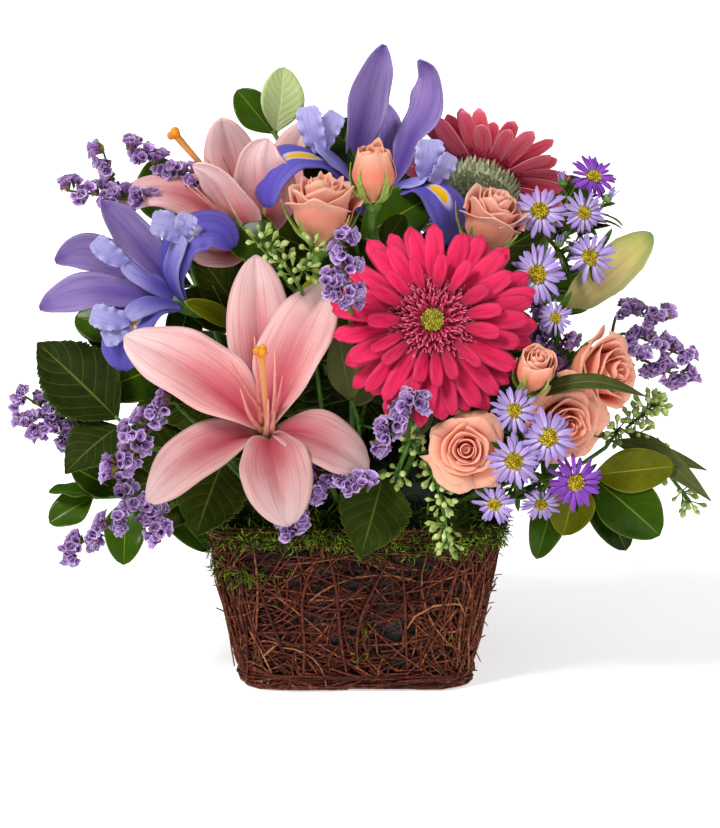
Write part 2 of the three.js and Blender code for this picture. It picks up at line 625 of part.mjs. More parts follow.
// Gerberas: two rings of straps round a wide disc of tiny florets, on a stem with a green cup of bracts
const GERBERAS = {
  front_gerbera: {
    bloom: { at: [39, -96, 205], faces: [-0.05, -0.94, 0.34], side: [1, 0, 0] },
    bracts: 7,
    rays: { count: 22, turn: 4, middle: [31, -0.5], tip: [GERBERA.reach, -2] },
    upper: { middle: [26, 3.2], tip: [GERBERA.reach - 8, 5.5] },
  },
  back_gerbera: {
    bloom: { at: [68, 4, 263], faces: [0.24, 0.7, 0.6], side: [1, -0.1, -0.3] },
    bracts: 9,
    rays: { count: 14, turn: 0, middle: [31, 1.5], tip: [GERBERA.reach - 2, 2] },
    upper: { middle: [30, 3.6], tip: [GERBERA.reach - 4, 6] },
  },
};
const RAY = { width: GERBERA.rayWidth, blunt: 0.5, ridge: 1, flat: true, inner: [GERBERA.hub, -2.6] };
const FLORETS = { count: 10, inner: [9, 0.4], middle: [12, 2.4], tip: [GERBERA.disc, 5.4], width: 5.6 };
const BRACTS = { inner: [9, -8.4], middle: [13, -7], tip: [17.5, -4.8], width: 5, flat: true };
Object.entries(GERBERAS).forEach(([name, { bloom, bracts, rays, upper }]) => {
  const trunk = rooted([behind(bloom, 40), behind(bloom, 14)], 3, 3, 4);
  const cup = star(bloom, { ...BRACTS, count: bracts, crown: -5, under: -16 });
  part(name + "_stem", FINISH.stem, [trunk], [cup]);
  const disc = star(bloom, { ...FLORETS, ridge: 0.8, flat: true, crown: 4.6, under: 0 });
  part(name + "_disc", FINISH.gerberaDisc, [], [disc]);
  const ring = star(bloom, { ...RAY, ...rays, second: upper, crown: -0.4, under: -4.6 });
  part(name + "_rays", FINISH.gerbera, [], [ring]);
});

// Spray roses: cupped petals in two rings round a tight heart. `open` is 0 for a bud and 1 for a full bloom.
const ROSES = {
  rose_front: {
    at: [56, -104, 141], faces: [-0.05, -0.97, 0.2], side: [1, 0, 0], radius: 19, tall: 17, open: 1,
  },
  rose_right: {
    at: [102, -84, 156], faces: [0.34, -0.9, -0.02], side: [1, 0.2, 0], radius: 20, tall: 22, open: 0.9,
  },
  rose_right_high: {
    at: [118, -66, 173], faces: [0.82, -0.46, 0.26], side: [0, 0, 1], radius: 19, tall: 27, open: 0.7,
  },
  rose_right_bud: {
    at: [87, -100, 172], faces: [0.06, -0.42, 0.9], side: [1, 0, 0], radius: 10.5, tall: 25, open: 0.15,
  },
  rose_top_bud: {
    at: [9, -62, 262], faces: [-0.02, -0.1, 1], side: [1, 0, 0], radius: 11.5, tall: 30, open: 0,
  },
  rose_top: {
    at: [-17, -62, 241], faces: [0, -0.25, 0.96], side: [1, 0, 0], radius: 18, tall: 30, open: 0.6,
  },
  rose_behind: {
    at: [70, -50, 240], faces: [-0.2, -0.05, 0.97], side: [1, 0, 0], radius: 17, tall: 29, open: 0.5,
  },
};
function rosePetals({ radius, tall, open }) {
  const wide = open > 0.3;
  const outer = {
    middle: [0.94 * radius, 0.42 * tall],
    tip: [(0.74 + 0.5 * open) * radius, tall * (1 - 0.25 * open)],
    width: (wide ? 1.3 : 1.5) * radius,
  };
  const second = {
    middle: [0.6 * radius, 0.52 * tall],
    tip: [(0.46 + 0.14 * open) * radius, tall * 0.96],
    width: (wide ? 0.95 : 1.2) * radius,
  };
  const shape = { inner: [0.42 * radius, 0.08 * tall], blunt: 0.75, edge: 0.35, ridge: 0.7, uneven: 0.04 };
  return { ...shape, ...outer, second, count: wide ? 8 : 6, turn: 20, crown: 0.86 * tall, under: -0.2 };
}
function roseSepals({ radius, tall, open }) {
  const spread = { middle: [0.8 * radius, -2], tip: [1.2 * radius, -5] };
  const upright = { middle: [1.16 * radius, 0.35 * tall], tip: [1.02 * radius, 0.86 * tall] };
  const shape = { count: 5, turn: 20, inner: [0.34 * radius, -1.6], width: 6, flat: true };
  return { ...shape, ...(open > 0.3 ? spread : upright), crown: -0.5, under: -7 };
}
const ROSE_SPRAYS = {
  right_rose_stems: {
    fork: [85, -62, 144],
    roses: ["rose_front", "rose_right", "rose_right_high", "rose_right_bud"],
  },
  top_rose_stems: { fork: [23, -46, 212], roses: ["rose_top_bud", "rose_top", "rose_behind"] },
};
Object.entries(ROSE_SPRAYS).forEach(([name, { fork, roses }]) => {
  const blooms = roses.map((key) => ROSES[key]);
  const trunk = rooted([fork, mix(fork, blooms[0].at, 0.02)], 2.2, 3, 4);
  const branches = blooms.map((rose) => stem([fork, behind(rose, 18), behind(rose, 4)], 1.9, 2, 3));
  part(name, FINISH.stem, [trunk, ...branches], blooms.map((rose) => star(rose, roseSepals(rose))));
});
Object.entries(ROSES).forEach(([name, rose]) => part(name, FINISH.rose, [], [star(rose, rosePetals(rose))]));

// Asters: small daisies on branching stems. A head is where it sits, how it faces and its size.
const ASTERS = {
  upper_asters: {
    fork: [94, -20, 191],
    knots: [[104, -42, 233], [116, -40, 240], [100, -52, 208]],
    heads: [
      [[95, -50, 254], [-0.15, -0.85, 0.5], 1],
      [[123, -38, 270], [0.3, -0.7, 0.65], 0.85],
      [[117, -56, 254], [0.05, -0.95, 0.3], 0.75],
      [[120, -72, 234], [-0.55, -0.8, -0.1], 0.95],
      [[92, -80, 226], [-0.1, -0.95, 0.3], 1],
      [[101, -86, 205], [0.3, -0.9, 0.1], 0.6],
    ],
  },
  lower_asters: {
    fork: [85, -74, 123],
    knots: [[80, -96, 145], [81, -92, 121], [96, -94, 123]],
    heads: [
      [[79, -120, 164], [-0.1, -0.9, 0.4], 0.8],
      [[96, -122, 151], [0.05, -0.98, 0.2], 1],
      [[79, -126, 140], [-0.1, -0.98, 0.1], 0.95],
      [[70, -112, 115], [-0.2, -0.9, -0.3], 0.75],
      [[94, -104, 113], [0.1, -0.9, -0.3], 0.7],
      [[110, -116, 127], [0.2, -0.95, -0.05], 0.95],
    ],
  },
};
function asterHead([at, faces, size]) {
  const { ray, rayWidth, disc } = ASTER;
  const reach = (disc + ray) * size;
  const rays = { inner: [disc * 0.9 * size, 0], middle: [0.62 * reach, 0.8], tip: [reach, 0.6] };
  const spec = { ...rays, width: rayWidth * size, ridge: 0.9, count: 7, crown: 2.4, under: -2.6 };
  return star({ at, faces, side: [1, 0.1, 0.2] }, { ...spec, flat: true, uneven: 0.08 });
}
Object.entries(ASTERS).forEach(([name, { fork, knots, heads }]) => {
  const trunk = rooted([fork, mix(fork, knots[0], 0.05)], 1.8);
  const arms = knots.map((knot) => stem([fork, mix(fork, knot, 0.5), knot], 1.3, 2));
  const stalks = heads.map(([at, faces]) => {
    const foot = behind({ at, faces }, 0.9).add(new THREE.Vector3(1, 0, -1));
    const knot = knots.reduce((a, b) => (foot.distanceTo(vec(b)) < foot.distanceTo(vec(a)) ? b : a));
    return stem([knot, foot], 1.1, 1);
  });
  part(name, FINISH.aster, [trunk, ...arms], [...stalks, ...heads.map(asterHead)]);
});

// Statice: short fingers of papery florets along one side of a stem. A finger is its start, its end and the
// side that its florets face.
const STATICES = {
  statice_top_left: {
    root: [[-93, -22, 241], [-96, -28, 251]],
    fingers: [
      [[-105, -40, 257], [-148, -44, 264], [0, -0.5, 1]],
      [[-122, -36, 262], [-130, -38, 284], [-1, -0.5, 0.2]],
      [[-78, -24, 262], [-117, -26, 283], [-0.1, -0.5, 1]],
    ],
  },
  statice_left: {
    root: [[-123, -22, 118], [-135, -34, 129]],
    fingers: [
      [[-140, -42, 134], [-173, -48, 157], [-0.2, -0.6, 1]],
      [[-142, -44, 132], [-171, -52, 143], [-0.3, -0.8, 0.3]],
    ],
  },
  statice_left_middle: {
    root: [[-80, -66, 144], [-90, -82, 158]],
    fingers: [
      [[-94, -92, 162], [-113, -98, 148], [-0.6, -0.8, 0.5]],
      [[-103, -92, 149], [-121, -100, 129], [-0.6, -0.8, 0.1]],
    ],
  },
  statice_low_left: {
    root: [[-87, -58, 102], [-97, -72, 102]],
    fingers: [
      [[-105, -82, 105], [-118, -88, 115], [-0.3, -0.8, 0.6]],
      [[-114, -84, 104], [-146, -92, 85], [-0.4, -0.8, 0.3]],
      [[-104, -82, 100], [-100, -90, 92], [0, -1, -0.2]],
    ],
  },
  statice_low: {
    root: [[-13, -78, 119], [-15, -96, 126]],
    fingers: [
      [[-15, -104, 130], [-6, -112, 141], [0, -0.9, 0.6]],
      [[-13, -104, 128], [4, -112, 124], [0.2, -1, 0.3]],
      [[-19, -104, 126], [-32, -110, 101], [-0.2, -1, -0.1]],
    ],
  },
  statice_middle: {
    root: [[33, -70, 139], [26, -104, 156]],
    fingers: [
      [[24, -110, 161], [10, -116, 148], [-0.2, -1, 0]],
      [[22, -110, 163], [33, -116, 170], [0.2, -1, 0.3]],
    ],
  },
  statice_centre: {
    root: [[-2, -80, 198], [-2, -104, 211]],
    fingers: [
      [[-4, -112, 218], [-11, -116, 228], [-0.2, -1, 0.1]],
      [[-3, -112, 223], [-6, -118, 250], [0, -1, 0.2]],
    ],
  },
  statice_right: {
    root: [[129, -30, 178], [134, -34, 185]],
    fingers: [
      [[139, -38, 200], [161, -40, 196], [0.2, -0.6, 1]],
      [[144, -40, 188], [171, -42, 177], [0.3, -0.6, 1]],
      [[141, -44, 180], [172, -46, 165], [0.2, -0.9, 0.5]],
    ],
  },
  back_statice: {
    root: [[10, 60, 170], [12, 82, 205]],
    fingers: [
      [[12, 86, 212], [8, 96, 250], [0, 1, 0.2]],
      [[16, 84, 206], [44, 100, 232], [0.3, 1, 0.4]],
    ],
  },
};
Object.entries(STATICES).forEach(([name, { root, fingers }]) => {
  const top = root[root.length - 1];
  const spikes = fingers.map(([from, to, side]) => {
    const face = vec(side).normalize();
    const bareLength = vec(from).distanceTo(vec(top));
    const whole = bareLength + vec(to).distanceTo(vec(from));
    const bears = (i, k, out) => out.dot(face) > -0.3 && (i + k) % 4 !== 0;
    const steps = Math.max(3, Math.round(whole / STATICE.pitch));
    const spec = { steps, bare: (bareLength - 1) / whole, bears };
    return spike([top, from, to], 1.2, { ...spec, length: STATICE.length, mouth: STATICE.mouth });
  });
  part(name, FINISH.statice, [rooted(root, 1.6)], spikes);
});

// Seeded eucalyptus: small umbels of capsules at the joints of a branch, and a few narrow leaves. An umbel is
// its place on the branch and the way it looks, and a leaf is its base, its tip, its upper side and width.
const CAPSULES = { inner: [1.5, 1], middle: [4.6, 4.8], tip: [6.6, 8], width: 4.4, ridge: 2.8, count: 3 };
const EUCALYPTUS = {
  seeds_centre: {
    trunk: [[-23, -64, 195], [-30, -78, 223], [-47, -86, 244]],
    twigs: [[[-29, -77, 220], [-22, -80, 238]]],
    umbels: [
      [[-47, -86, 244], [-0.4, -0.5, 0.8]],
      [[-22, -80, 238], [0.2, -0.6, 0.8]],
      [[-26, -79, 228], [0.6, -0.7, 0.1]],
    ],
  },
  seeds_front: {
    trunk: [[25, -74, 131], [28, -96, 143], [41, -104, 125], [47, -102, 93]],
    twigs: [[[25, -97, 142], [22, -104, 130]]],
    umbels: [
      [[22, -104, 130], [-0.3, -0.7, -0.6]],
      [[39, -104, 127], [-0.8, -0.5, -0.2]],
      [[42, -104, 119], [0.8, -0.5, 0.1]],
      [[46, -103, 103], [-0.5, -0.7, -0.6]],
      [[48, -102, 92], [0, -0.4, -1]],
    ],
  },
  eucalyptus_right: {
    trunk: [[120, -58, 124], [142, -52, 140], [175, -54, 102]],
    twigs: [[[139, -52, 138], [155, -50, 152]]],
    umbels: [
      [[155, -50, 152], [0.4, -0.4, 0.8]],
      [[150, -50, 148], [0.9, -0.5, 0]],
      [[157, -52, 126], [0.8, -0.3, 0.5]],
      [[175, -54, 102], [0.2, -0.4, -1]],
      [[131, -50, 136], [-0.2, -0.9, 0.4]],
    ],
    leaves: [
      [[139, -52, 141], [183, -60, 124], [0.1, -0.8, 0.6], 11],
      [[146, -52, 135], [183, -62, 100], [0, -0.9, 0.5], 13],
      [[130, -50, 135], [104, -104, 174], [0.3, -0.6, 0.7], 9],
    ],
  },
  eucalyptus_middle: {
    trunk: [[2, -60, 141], [-2, -78, 161]],
    twigs: [[[2, -64, 145], [28, -84, 141]]],
    umbels: [],
    leaves: [
      [[-2, -78, 160], [-8, -92, 194], [-0.2, -1, 0.1], 17],
      [[25, -80, 140], [39, -98, 164], [0.2, -1, 0.1], 19],
      [[-1, -76, 155], [9, -92, 171], [0.2, -1, 0.3], 12],
    ],
  },
};
function umbel([at, faces]) {
  const centre = vec(at).addScaledVector(vec(faces).normalize(), 4);
  const hub = { flat: true, crown: 1.8, under: -4.4, uneven: 0.1 };
  return star({ at: centre, faces, side: [0.3, 1, 0.2] }, { ...CAPSULES, ...hub });
}
Object.entries(EUCALYPTUS).forEach(([name, { trunk, twigs, umbels, leaves = [] }]) => {
  const main = { path: [foamEnd(trunk[0]), ...trunk], steps: 5 };
  const feet = startsOn([main], twigs.map(([from]) => from));
  const side = twigs.map(([, ...points], i) => ({ path: [feet[i], ...points], steps: 2 }));
  const starts = startsOn([main, ...side], [...umbels, ...leaves].map(([at]) => at));
  const tubes = side.map(({ path, steps }) => stem(path, 1.1, steps));
  const growth = umbels.map(([, faces], i) => umbel([starts[i], faces]));
  const blades = leaves.map(([, ...others], i) => leaf([starts[umbels.length + i], ...others]));
  part(name, FINISH.seed, [stem(main.path, 1.4, main.steps)], [...tubes, ...growth, ...blades]);
});

// Leaves on their own stems: dark rose leaves with saw teeth, and rounder glossy ones. A leaf is its base,
// its tip, the way its upper side looks and its width.
const ROSE_LEAVES = {
  rose_leaves_left: {
    spine: [[-102, -54, 128], [-121, -54, 143]],
    leaves: [
      [[-123, -51, 145], [-163, -64, 193], [-0.1, -0.85, 0.5], 40],
      [[-122, -51, 141], [-151, -76, 129], [-0.2, -0.75, 0.65], 30],
      [[-121, -48, 139], [-145, -58, 103], [-0.5, -0.8, -0.1], 26],
    ],
  },
  rose_leaf_low_left: {
    spine: [[-57, -66, 115], [-67, -76, 130]],
    leaves: [[[-67, -76, 130], [-82, -104, 101], [-0.1, -0.9, 0.35], 38]],
  },
  rose_leaf_low: {
    spine: [[12, -68, 118], [15, -80, 124]],
    leaves: [[[15, -80, 124], [4, -104, 87], [0.05, -0.95, 0.25], 37]],
  },
  back_leaves_low: {
    spine: [[0, 66, 118], [0, 88, 126]],
    leaves: [
      [[0, 88, 126], [4, 128, 100], [0, 0.7, 0.7], 38],
      [[-3, 80, 124], [-52, 112, 104], [-0.1, 0.7, 0.7], 36],
      [[3, 80, 124], [56, 112, 106], [0.1, 0.7, 0.7], 36],
    ],
  },
};
const GLOSSY_LEAVES = {
  round_leaves_low_left: {
    spine: [[-95, -36, 100], [-136, -54, 104]],
    leaves: [
      [[-135, -58, 105], [-159, -68, 98], [-0.1, -0.8, 0.55], 19],
      [[-133, -58, 106], [-159, -60, 111], [0.2, -0.2, 1], 15],
      [[-118, -56, 103], [-140, -64, 123], [0.2, -0.9, 0.4], 19],
      [[-114, -58, 102], [-121, -76, 80], [0, -0.9, 0.4], 22],
      [[-100, -54, 100], [-80, -70, 88], [0.1, -0.9, 0.4], 17],
    ],
  },
  round_leaves_left: {
    spine: [[-82, -28, 161], [-108, -30, 178], [-124, -28, 188]],
    leaves: [
      [[-95, -34, 168], [-129, -58, 165], [0.1, -0.95, 0.3], 28],
      [[-93, -30, 177], [-82, -40, 206], [0.3, -0.9, 0.3], 20],
      [[-120, -28, 186], [-147, -28, 198], [0, -0.8, 0.6], 24],
      [[-113, -28, 182], [-141, -24, 182], [0, -0.7, 0.7], 22],
    ],
  },
  round_leaves_top_left: {
    spine: [[-30, 6, 252], [-44, 10, 289]],
    leaves: [
      [[-44, 9, 284], [-62, 6, 311], [0, -0.9, 0.3], 22],
      [[-43, 10, 288], [-34, 6, 321], [0.3, -0.9, 0.2], 24],
      [[-35, 8, 268], [-14, 14, 289], [0, -0.9, 0.4], 22],
    ],
  },
  round_leaves_centre: {
    spine: [[-18, -40, 185], [-39, -52, 224]],
    leaves: [
      [[-38, -52, 222], [-62, -66, 260], [-0.1, -0.85, 0.5], 26],
      [[-31, -48, 208], [-17, -84, 229], [-0.3, -0.8, 0.5], 18],
    ],
  },
  round_leaves_top: {
    spine: [[2, -20, 219], [-5, -26, 246]],
    leaves: [
      [[-5, -26, 243], [-19, -20, 294], [0, -0.95, 0.3], 30],
      [[-2, -24, 233], [38, -34, 260], [-0.1, -0.95, 0.2], 30],
      [[-3, -25, 238], [-29, -30, 262], [0, -0.95, 0.2], 24],
    ],
  },
  round_leaves_low_right: {
    spine: [[112, -66, 117], [122, -66, 118]],
    leaves: [
      [[120, -64, 120], [152, -84, 130], [0.1, -0.75, 0.65], 22],
      [[122, -64, 117], [157, -84, 90], [0, -0.9, 0.45], 32],
      [[120, -62, 114], [140, -72, 80], [0, -0.95, 0.3], 22],
      [[117, -64, 116], [109, -92, 98], [0.1, -0.9, 0.4], 25],
      [[108, -60, 111], [95, -84, 80], [0.1, -0.95, 0.3], 19],
    ],
  },
  back_leaves_left: {
    spine: [[-50, 40, 150], [-85, 62, 190], [-100, 70, 225]],
    leaves: [
      [[-100, 70, 225], [-118, 78, 268], [-0.4, 0.9, 0.2], 30],
      [[-88, 64, 195], [-140, 66, 222], [-0.2, 0.8, 0.6], 28],
      [[-85, 62, 190], [-76, 100, 238], [0.2, 0.9, 0.4], 32],
      [[-70, 52, 172], [-118, 92, 168], [-0.3, 0.7, 0.6], 32],
      [[-60, 46, 160], [-50, 104, 184], [0.1, 0.8, 0.6], 32],
    ],
  },
  back_leaves_right: {
    spine: [[55, 42, 150], [88, 62, 185], [104, 70, 218]],
    leaves: [
      [[104, 70, 218], [128, 78, 258], [0.3, 0.9, 0.2], 30],
      [[92, 64, 192], [146, 62, 206], [0.2, 0.8, 0.6], 28],
      [[88, 62, 185], [82, 102, 232], [-0.2, 0.9, 0.4], 32],
      [[72, 52, 168], [122, 92, 160], [0.3, 0.7, 0.6], 32],
      [[62, 46, 158], [50, 106, 180], [-0.1, 0.8, 0.6], 32],
    ],
  },
  back_leaves_middle: {
    spine: [[-8, 48, 150], [-14, 62, 200], [-12, 66, 240]],
    leaves: [
      [[-12, 66, 240], [-4, 74, 292], [0, 0.95, 0.2], 32],
      [[-13, 64, 222], [-58, 76, 262], [-0.2, 0.95, 0.2], 30],
      [[-13, 64, 214], [36, 80, 268], [0.2, 0.95, 0.2], 30],
      [[-13, 60, 190], [-58, 84, 196], [-0.2, 0.9, 0.4], 32],
    ],
  },
  side_leaves_left: {
    spine: [[-58, 12, 132], [-92, 20, 150]],
    leaves: [
      [[-92, 20, 150], [-136, 26, 176], [-0.5, -0.2, 0.8], 32],
      [[-80, 17, 145], [-118, 50, 142], [-0.5, 0.5, 0.7], 30],
      [[-74, 16, 142], [-108, -16, 138], [-0.6, -0.5, 0.6], 28],
    ],
  },
  side_leaves_right: {
    spine: [[58, 12, 132], [90, 22, 150]],
    leaves: [
      [[90, 22, 150], [138, 28, 178], [0.5, -0.2, 0.8], 32],
      [[80, 18, 145], [118, 52, 140], [0.5, 0.5, 0.7], 30],
      [[74, 16, 142], [108, -14, 134], [0.6, -0.5, 0.6], 28],
    ],
  },
};
function leafySprays(sprays, material, maker) {
  Object.entries(sprays).forEach(([name, { spine, leaves }]) => {
    const path = [foamEnd(spine[0]), ...spine];
    const starts = startsOn([{ path, steps: 3 }], leaves.map(([base]) => base));
    const blades = leaves.map(([, ...others], i) => maker([starts[i], ...others]));
    part(name, material, [stem(path, 1.4, 3)], blades);
  });
}
leafySprays(ROSE_LEAVES, FINISH.roseLeaf, roseLeaf);
leafySprays(GLOSSY_LEAVES, FINISH.glossyLeaf, leaf);

part("foam", FINISH.foam, [], [foamSolid]);
part("moss", FINISH.moss, [], [mossSolid]);

// Joining. A main piece is never cut. The rest of a part gives way to every other part's main pieces and to
// all of the parts before it, so no two parts touch by less than GAP.
const corner = (p) => new THREE.Vector3(...p);
function boxOf(solid) {
  const { min, max } = solid.boundingBox();
  return new THREE.Box3(corner(min), corner(max));
}
const solidsOf = (entries, grow) => entries.map((entry) => entry(grow));
const mainClearances = parts.map(({ main }) => solidsOf(main, GAP));
const clearances = [];

function joined({ main, rest }, index) {
  const others = mainClearances.flatMap((solids, k) => (k === index ? [] : solids));
  const cutters = [...others, ...clearances].map((solid) => ({ solid, box: boxOf(solid) }));
  const pieces = solidsOf(rest, 0).map((solid) => {
    const box = boxOf(solid);
    const near = cutters.filter((cutter) => cutter.box.intersectsBox(box)).map((cutter) => cutter.solid);
    return near.length ? solid.subtract(Manifold.union(near)) : solid;
  });
  clearances.push(...solidsOf(rest, GAP));
  const whole = Manifold.union([...solidsOf(main, 0), ...pieces]);
  return whole.decompose().reduce((a, b) => (b.volume() > a.volume() ? b : a)).simplify(0.02);
}

function meshOf({ name, finish: material }, solid) {
  const { vertProperties, triVerts } = solid.getMesh();
  const geometry = new THREE.BufferGeometry();
  geometry.setAttribute("position", new THREE.Float32BufferAttribute(vertProperties, 3));
  geometry.setIndex(Array.from(triVerts));
  geometry.computeVertexNormals();
  const mesh = new THREE.Mesh(geometry, material);
  mesh.name = name;
  return mesh;
}

const group = new THREE.Group();
parts.forEach((item, index) => group.add(meshOf(item, joined(item, index))));

export default group;
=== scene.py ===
# %% [markdown]
# # A florist's basket of flowers
#
# This lesson dresses a plain solid model of a flower arrangement. The solids say where every bloom, leaf and
# stem is. Here each of them is made again in finer petals, veins and bark, in the same place.
# The first cell loads the solid model as a fixed frame and notes how large it is.

import math
from collections import namedtuple

import bpy
import numpy as np
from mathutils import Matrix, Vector


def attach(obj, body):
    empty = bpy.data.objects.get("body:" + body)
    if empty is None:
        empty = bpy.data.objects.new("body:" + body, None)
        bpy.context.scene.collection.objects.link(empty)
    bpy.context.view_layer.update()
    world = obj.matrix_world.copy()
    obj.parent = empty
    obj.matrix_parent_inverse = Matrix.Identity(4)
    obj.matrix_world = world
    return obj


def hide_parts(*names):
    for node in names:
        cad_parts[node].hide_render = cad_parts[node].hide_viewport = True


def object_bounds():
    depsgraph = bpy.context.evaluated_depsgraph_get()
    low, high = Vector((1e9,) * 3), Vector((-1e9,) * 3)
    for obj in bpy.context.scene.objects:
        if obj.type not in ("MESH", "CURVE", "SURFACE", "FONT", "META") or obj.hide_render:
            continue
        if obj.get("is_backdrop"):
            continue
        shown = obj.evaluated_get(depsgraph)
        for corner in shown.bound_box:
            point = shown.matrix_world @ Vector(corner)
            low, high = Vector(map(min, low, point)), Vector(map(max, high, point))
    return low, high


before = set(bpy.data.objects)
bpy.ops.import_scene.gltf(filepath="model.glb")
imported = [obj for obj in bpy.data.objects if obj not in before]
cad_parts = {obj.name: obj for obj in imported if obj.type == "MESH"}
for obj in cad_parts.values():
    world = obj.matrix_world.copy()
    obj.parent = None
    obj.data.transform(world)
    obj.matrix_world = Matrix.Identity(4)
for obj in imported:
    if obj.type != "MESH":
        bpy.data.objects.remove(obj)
cad_box = [list(corner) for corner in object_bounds()]
print("solid model from", cad_box[0], "to", cad_box[1])

# %% [markdown]
# ## Camera, floor and light
#
# A product picture of flowers is taken with a long lens from a little above the table, so the basket's sides
# hardly lean. The lens follows from how many millimetres one line of the picture covers at the basket.
# The floor is plain and nearly white. One broad light comes from the front left and high up, so the shadow
# falls to the right and back, and a weaker one fills the right side. The pale world lifts the shadows.

# %% Camera
MM = 0.001
MM_PER_PIXEL = 0.54
PICTURE_HEIGHT = 828
CAMERA_DISTANCE = 1500.0
CAMERA_RISE = math.radians(12.0)
LOOK_AT = Vector((2.5, 0.0, 137.0)) * MM
SENSOR = 36.0

back_off = Vector((0.0, -math.cos(CAMERA_RISE), math.sin(CAMERA_RISE)))
bpy.ops.object.select_all(action="DESELECT")
bpy.ops.object.camera_add(location=LOOK_AT + back_off * CAMERA_DISTANCE * MM)
camera = bpy.context.object
camera.rotation_euler = (-back_off).to_track_quat("-Z", "Y").to_euler()
camera.data.sensor_width = SENSOR
camera.data.lens = SENSOR * CAMERA_DISTANCE / (MM_PER_PIXEL * PICTURE_HEIGHT)
camera.data.clip_end = 60.0
bpy.context.scene.camera = camera
bpy.context.scene.view_settings.view_transform = "Standard"
print("lens", round(camera.data.lens, 1), "mm")

# %% Light
world = bpy.data.worlds.new("pale_room")
world.use_nodes = True
bpy.context.scene.world = world
sky = world.node_tree.nodes["Background"].inputs
sky["Color"].default_value = (1.0, 0.99, 0.975, 1.0)
sky["Strength"].default_value = 0.3

bpy.ops.object.light_add(type="SUN", location=(-2.0, -2.0, 3.0))
key_light = bpy.context.object
key_light.rotation_euler = Vector((0.62, 0.62, -0.86)).to_track_quat("-Z", "Y").to_euler()
key_light.data.energy = 2.75
key_light.data.angle = math.radians(16.0)
key_light.data.color = (1.0, 0.985, 0.96)

bpy.ops.object.light_add(type="AREA", location=(1.4, -2.0, 1.3))
fill_light = bpy.context.object
fill_light.rotation_euler = (LOOK_AT - fill_light.location).to_track_quat("-Z", "Y").to_euler()
fill_light.data.size = 1.6
fill_light.data.energy = 13.0
print("lights", key_light.name, fill_light.name)

# %% [markdown]
# ## How a finish is put together
#
# Every finish below is a small net of nodes that ends in one surface shader. One helper adds a node, sets
# its options and fills its sockets, either with a value or with another node. Sockets are named, or numbered
# where a node has several of one name: a Mix node of colours takes the share at 0 and its two colours at 6
# and 7, and Map Range takes the old limits at 1 and 2 and the new ones at 3 and 4. Colours are written as
# sRGB hex, as a paint chart gives them, and turned to linear light in one place.

# %% Node and colour helpers
PER_MM = 1000.0
SOFT_GLOSS = 0.28
FINISHES = {}


def linear(hex_colour):
    """An sRGB hex colour as linear red, green, blue and alpha."""
    shares = [int(hex_colour[i : i + 2], 16) / 255 for i in (1, 3, 5)]
    light = [c / 12.92 if c <= 0.04045 else ((c + 0.055) / 1.055) ** 2.4 for c in shares]
    return (*light, 1.0)


def fill(tree, node, sockets):
    """Fills sockets with values, with another node's output, or with a node's first live output."""
    for name, value in sockets.items():
        if isinstance(value, bpy.types.Node):
            value = next(output for output in value.outputs if output.enabled)
        if isinstance(value, bpy.types.NodeSocket):
            tree.links.new(value, node.inputs[name])
        else:
            node.inputs[name].default_value = value


def add(tree, kind, sockets=None, **options):
    """Adds one shader node with its options and its sockets."""
    node = tree.nodes.new("ShaderNode" + kind)
    for option, value in options.items():
        setattr(node, option, value)
    fill(tree, node, sockets or {})
    return node


def stops(ramp_node, colours):
    """Sets the stops of a colour ramp from pairs of position and hex colour."""
    ramp = ramp_node.color_ramp
    while len(ramp.elements) > 1:
        ramp.elements.remove(ramp.elements[-1])
    for i, (position, colour) in enumerate(colours):
        stop = ramp.elements[0] if i == 0 else ramp.elements.new(position)
        stop.position = position
        stop.color = linear(colour)
    return ramp_node


def bare_finish(name, roughness, ior):
    """A new material with one surface shader, ready for its colour and bump."""
    FINISHES[name] = bpy.data.materials.new(name)
    FINISHES[name].use_nodes = True
    tree = FINISHES[name].node_tree
    shader = tree.nodes["Principled BSDF"]
    fill(tree, shader, {"Roughness": roughness, "IOR": ior, "Specular IOR Level": SOFT_GLOSS})
    return tree, shader


print("a mid grey paint reflects", round(linear("#808080")[0], 3), "of the light")


# %% Floor
def paper_floor():
    """Seamless studio paper: matt, with a faint tooth, lit from below as on a light table."""
    tree, shader = bare_finish("studio_paper", 0.9, 1.45)
    place = add(tree, "TexCoord").outputs["Object"]
    grain = add(tree, "TexNoise", {"Vector": place, "Scale": PER_MM / 3.0, "Detail": 2.0})
    tone = stops(add(tree, "ValToRGB", {"Fac": grain}), [(0.0, "#F4F4F6"), (1.0, "#F8F8FA")])
    tooth = add(tree, "Bump", {"Height": grain, "Strength": 0.02, "Distance": 0.0005})
    lit = {"Emission Color": linear("#FFFFFF"), "Emission Strength": 0.6}
    fill(tree, shader, {"Base Color": tone, "Normal": tooth, **lit})
    return FINISHES["studio_paper"]


bpy.ops.object.select_all(action="DESELECT")
bpy.ops.mesh.primitive_circle_add(vertices=96, radius=16.0, fill_type="NGON")
floor = bpy.context.object
floor.name = "floor"
floor.data.materials.append(paper_floor())
floor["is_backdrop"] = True
print("floor", floor.dimensions[0], "m across")

# %% [markdown]
# ## Shapes as bare numbers
#
# The arrangement has a few thousand small growths, and most repeat: a twig, a ray, a floret, a seed capsule.
# Each is modelled once with Blender's own tools. Then its points are lifted into plain arrays, so that copies
# can be bent, scaled and placed quickly, each with its own points. A shape also carries two coordinates that
# finishes use: how far along the growth a point is, and how far across. A third number, its tint, lets each
# copy be a little lighter or darker than the next.

# %% Shapes
# The tint also carries painted light and shade: on the front lily's tepals, the gerbera rays, the middle
# eucalyptus leaves and the basket's twigs.
Shape = namedtuple("Shape", "points loops sides uv tint")
BLANKS = {}


def unit(v):
    v = np.asarray(v, float)
    return v / np.linalg.norm(v)


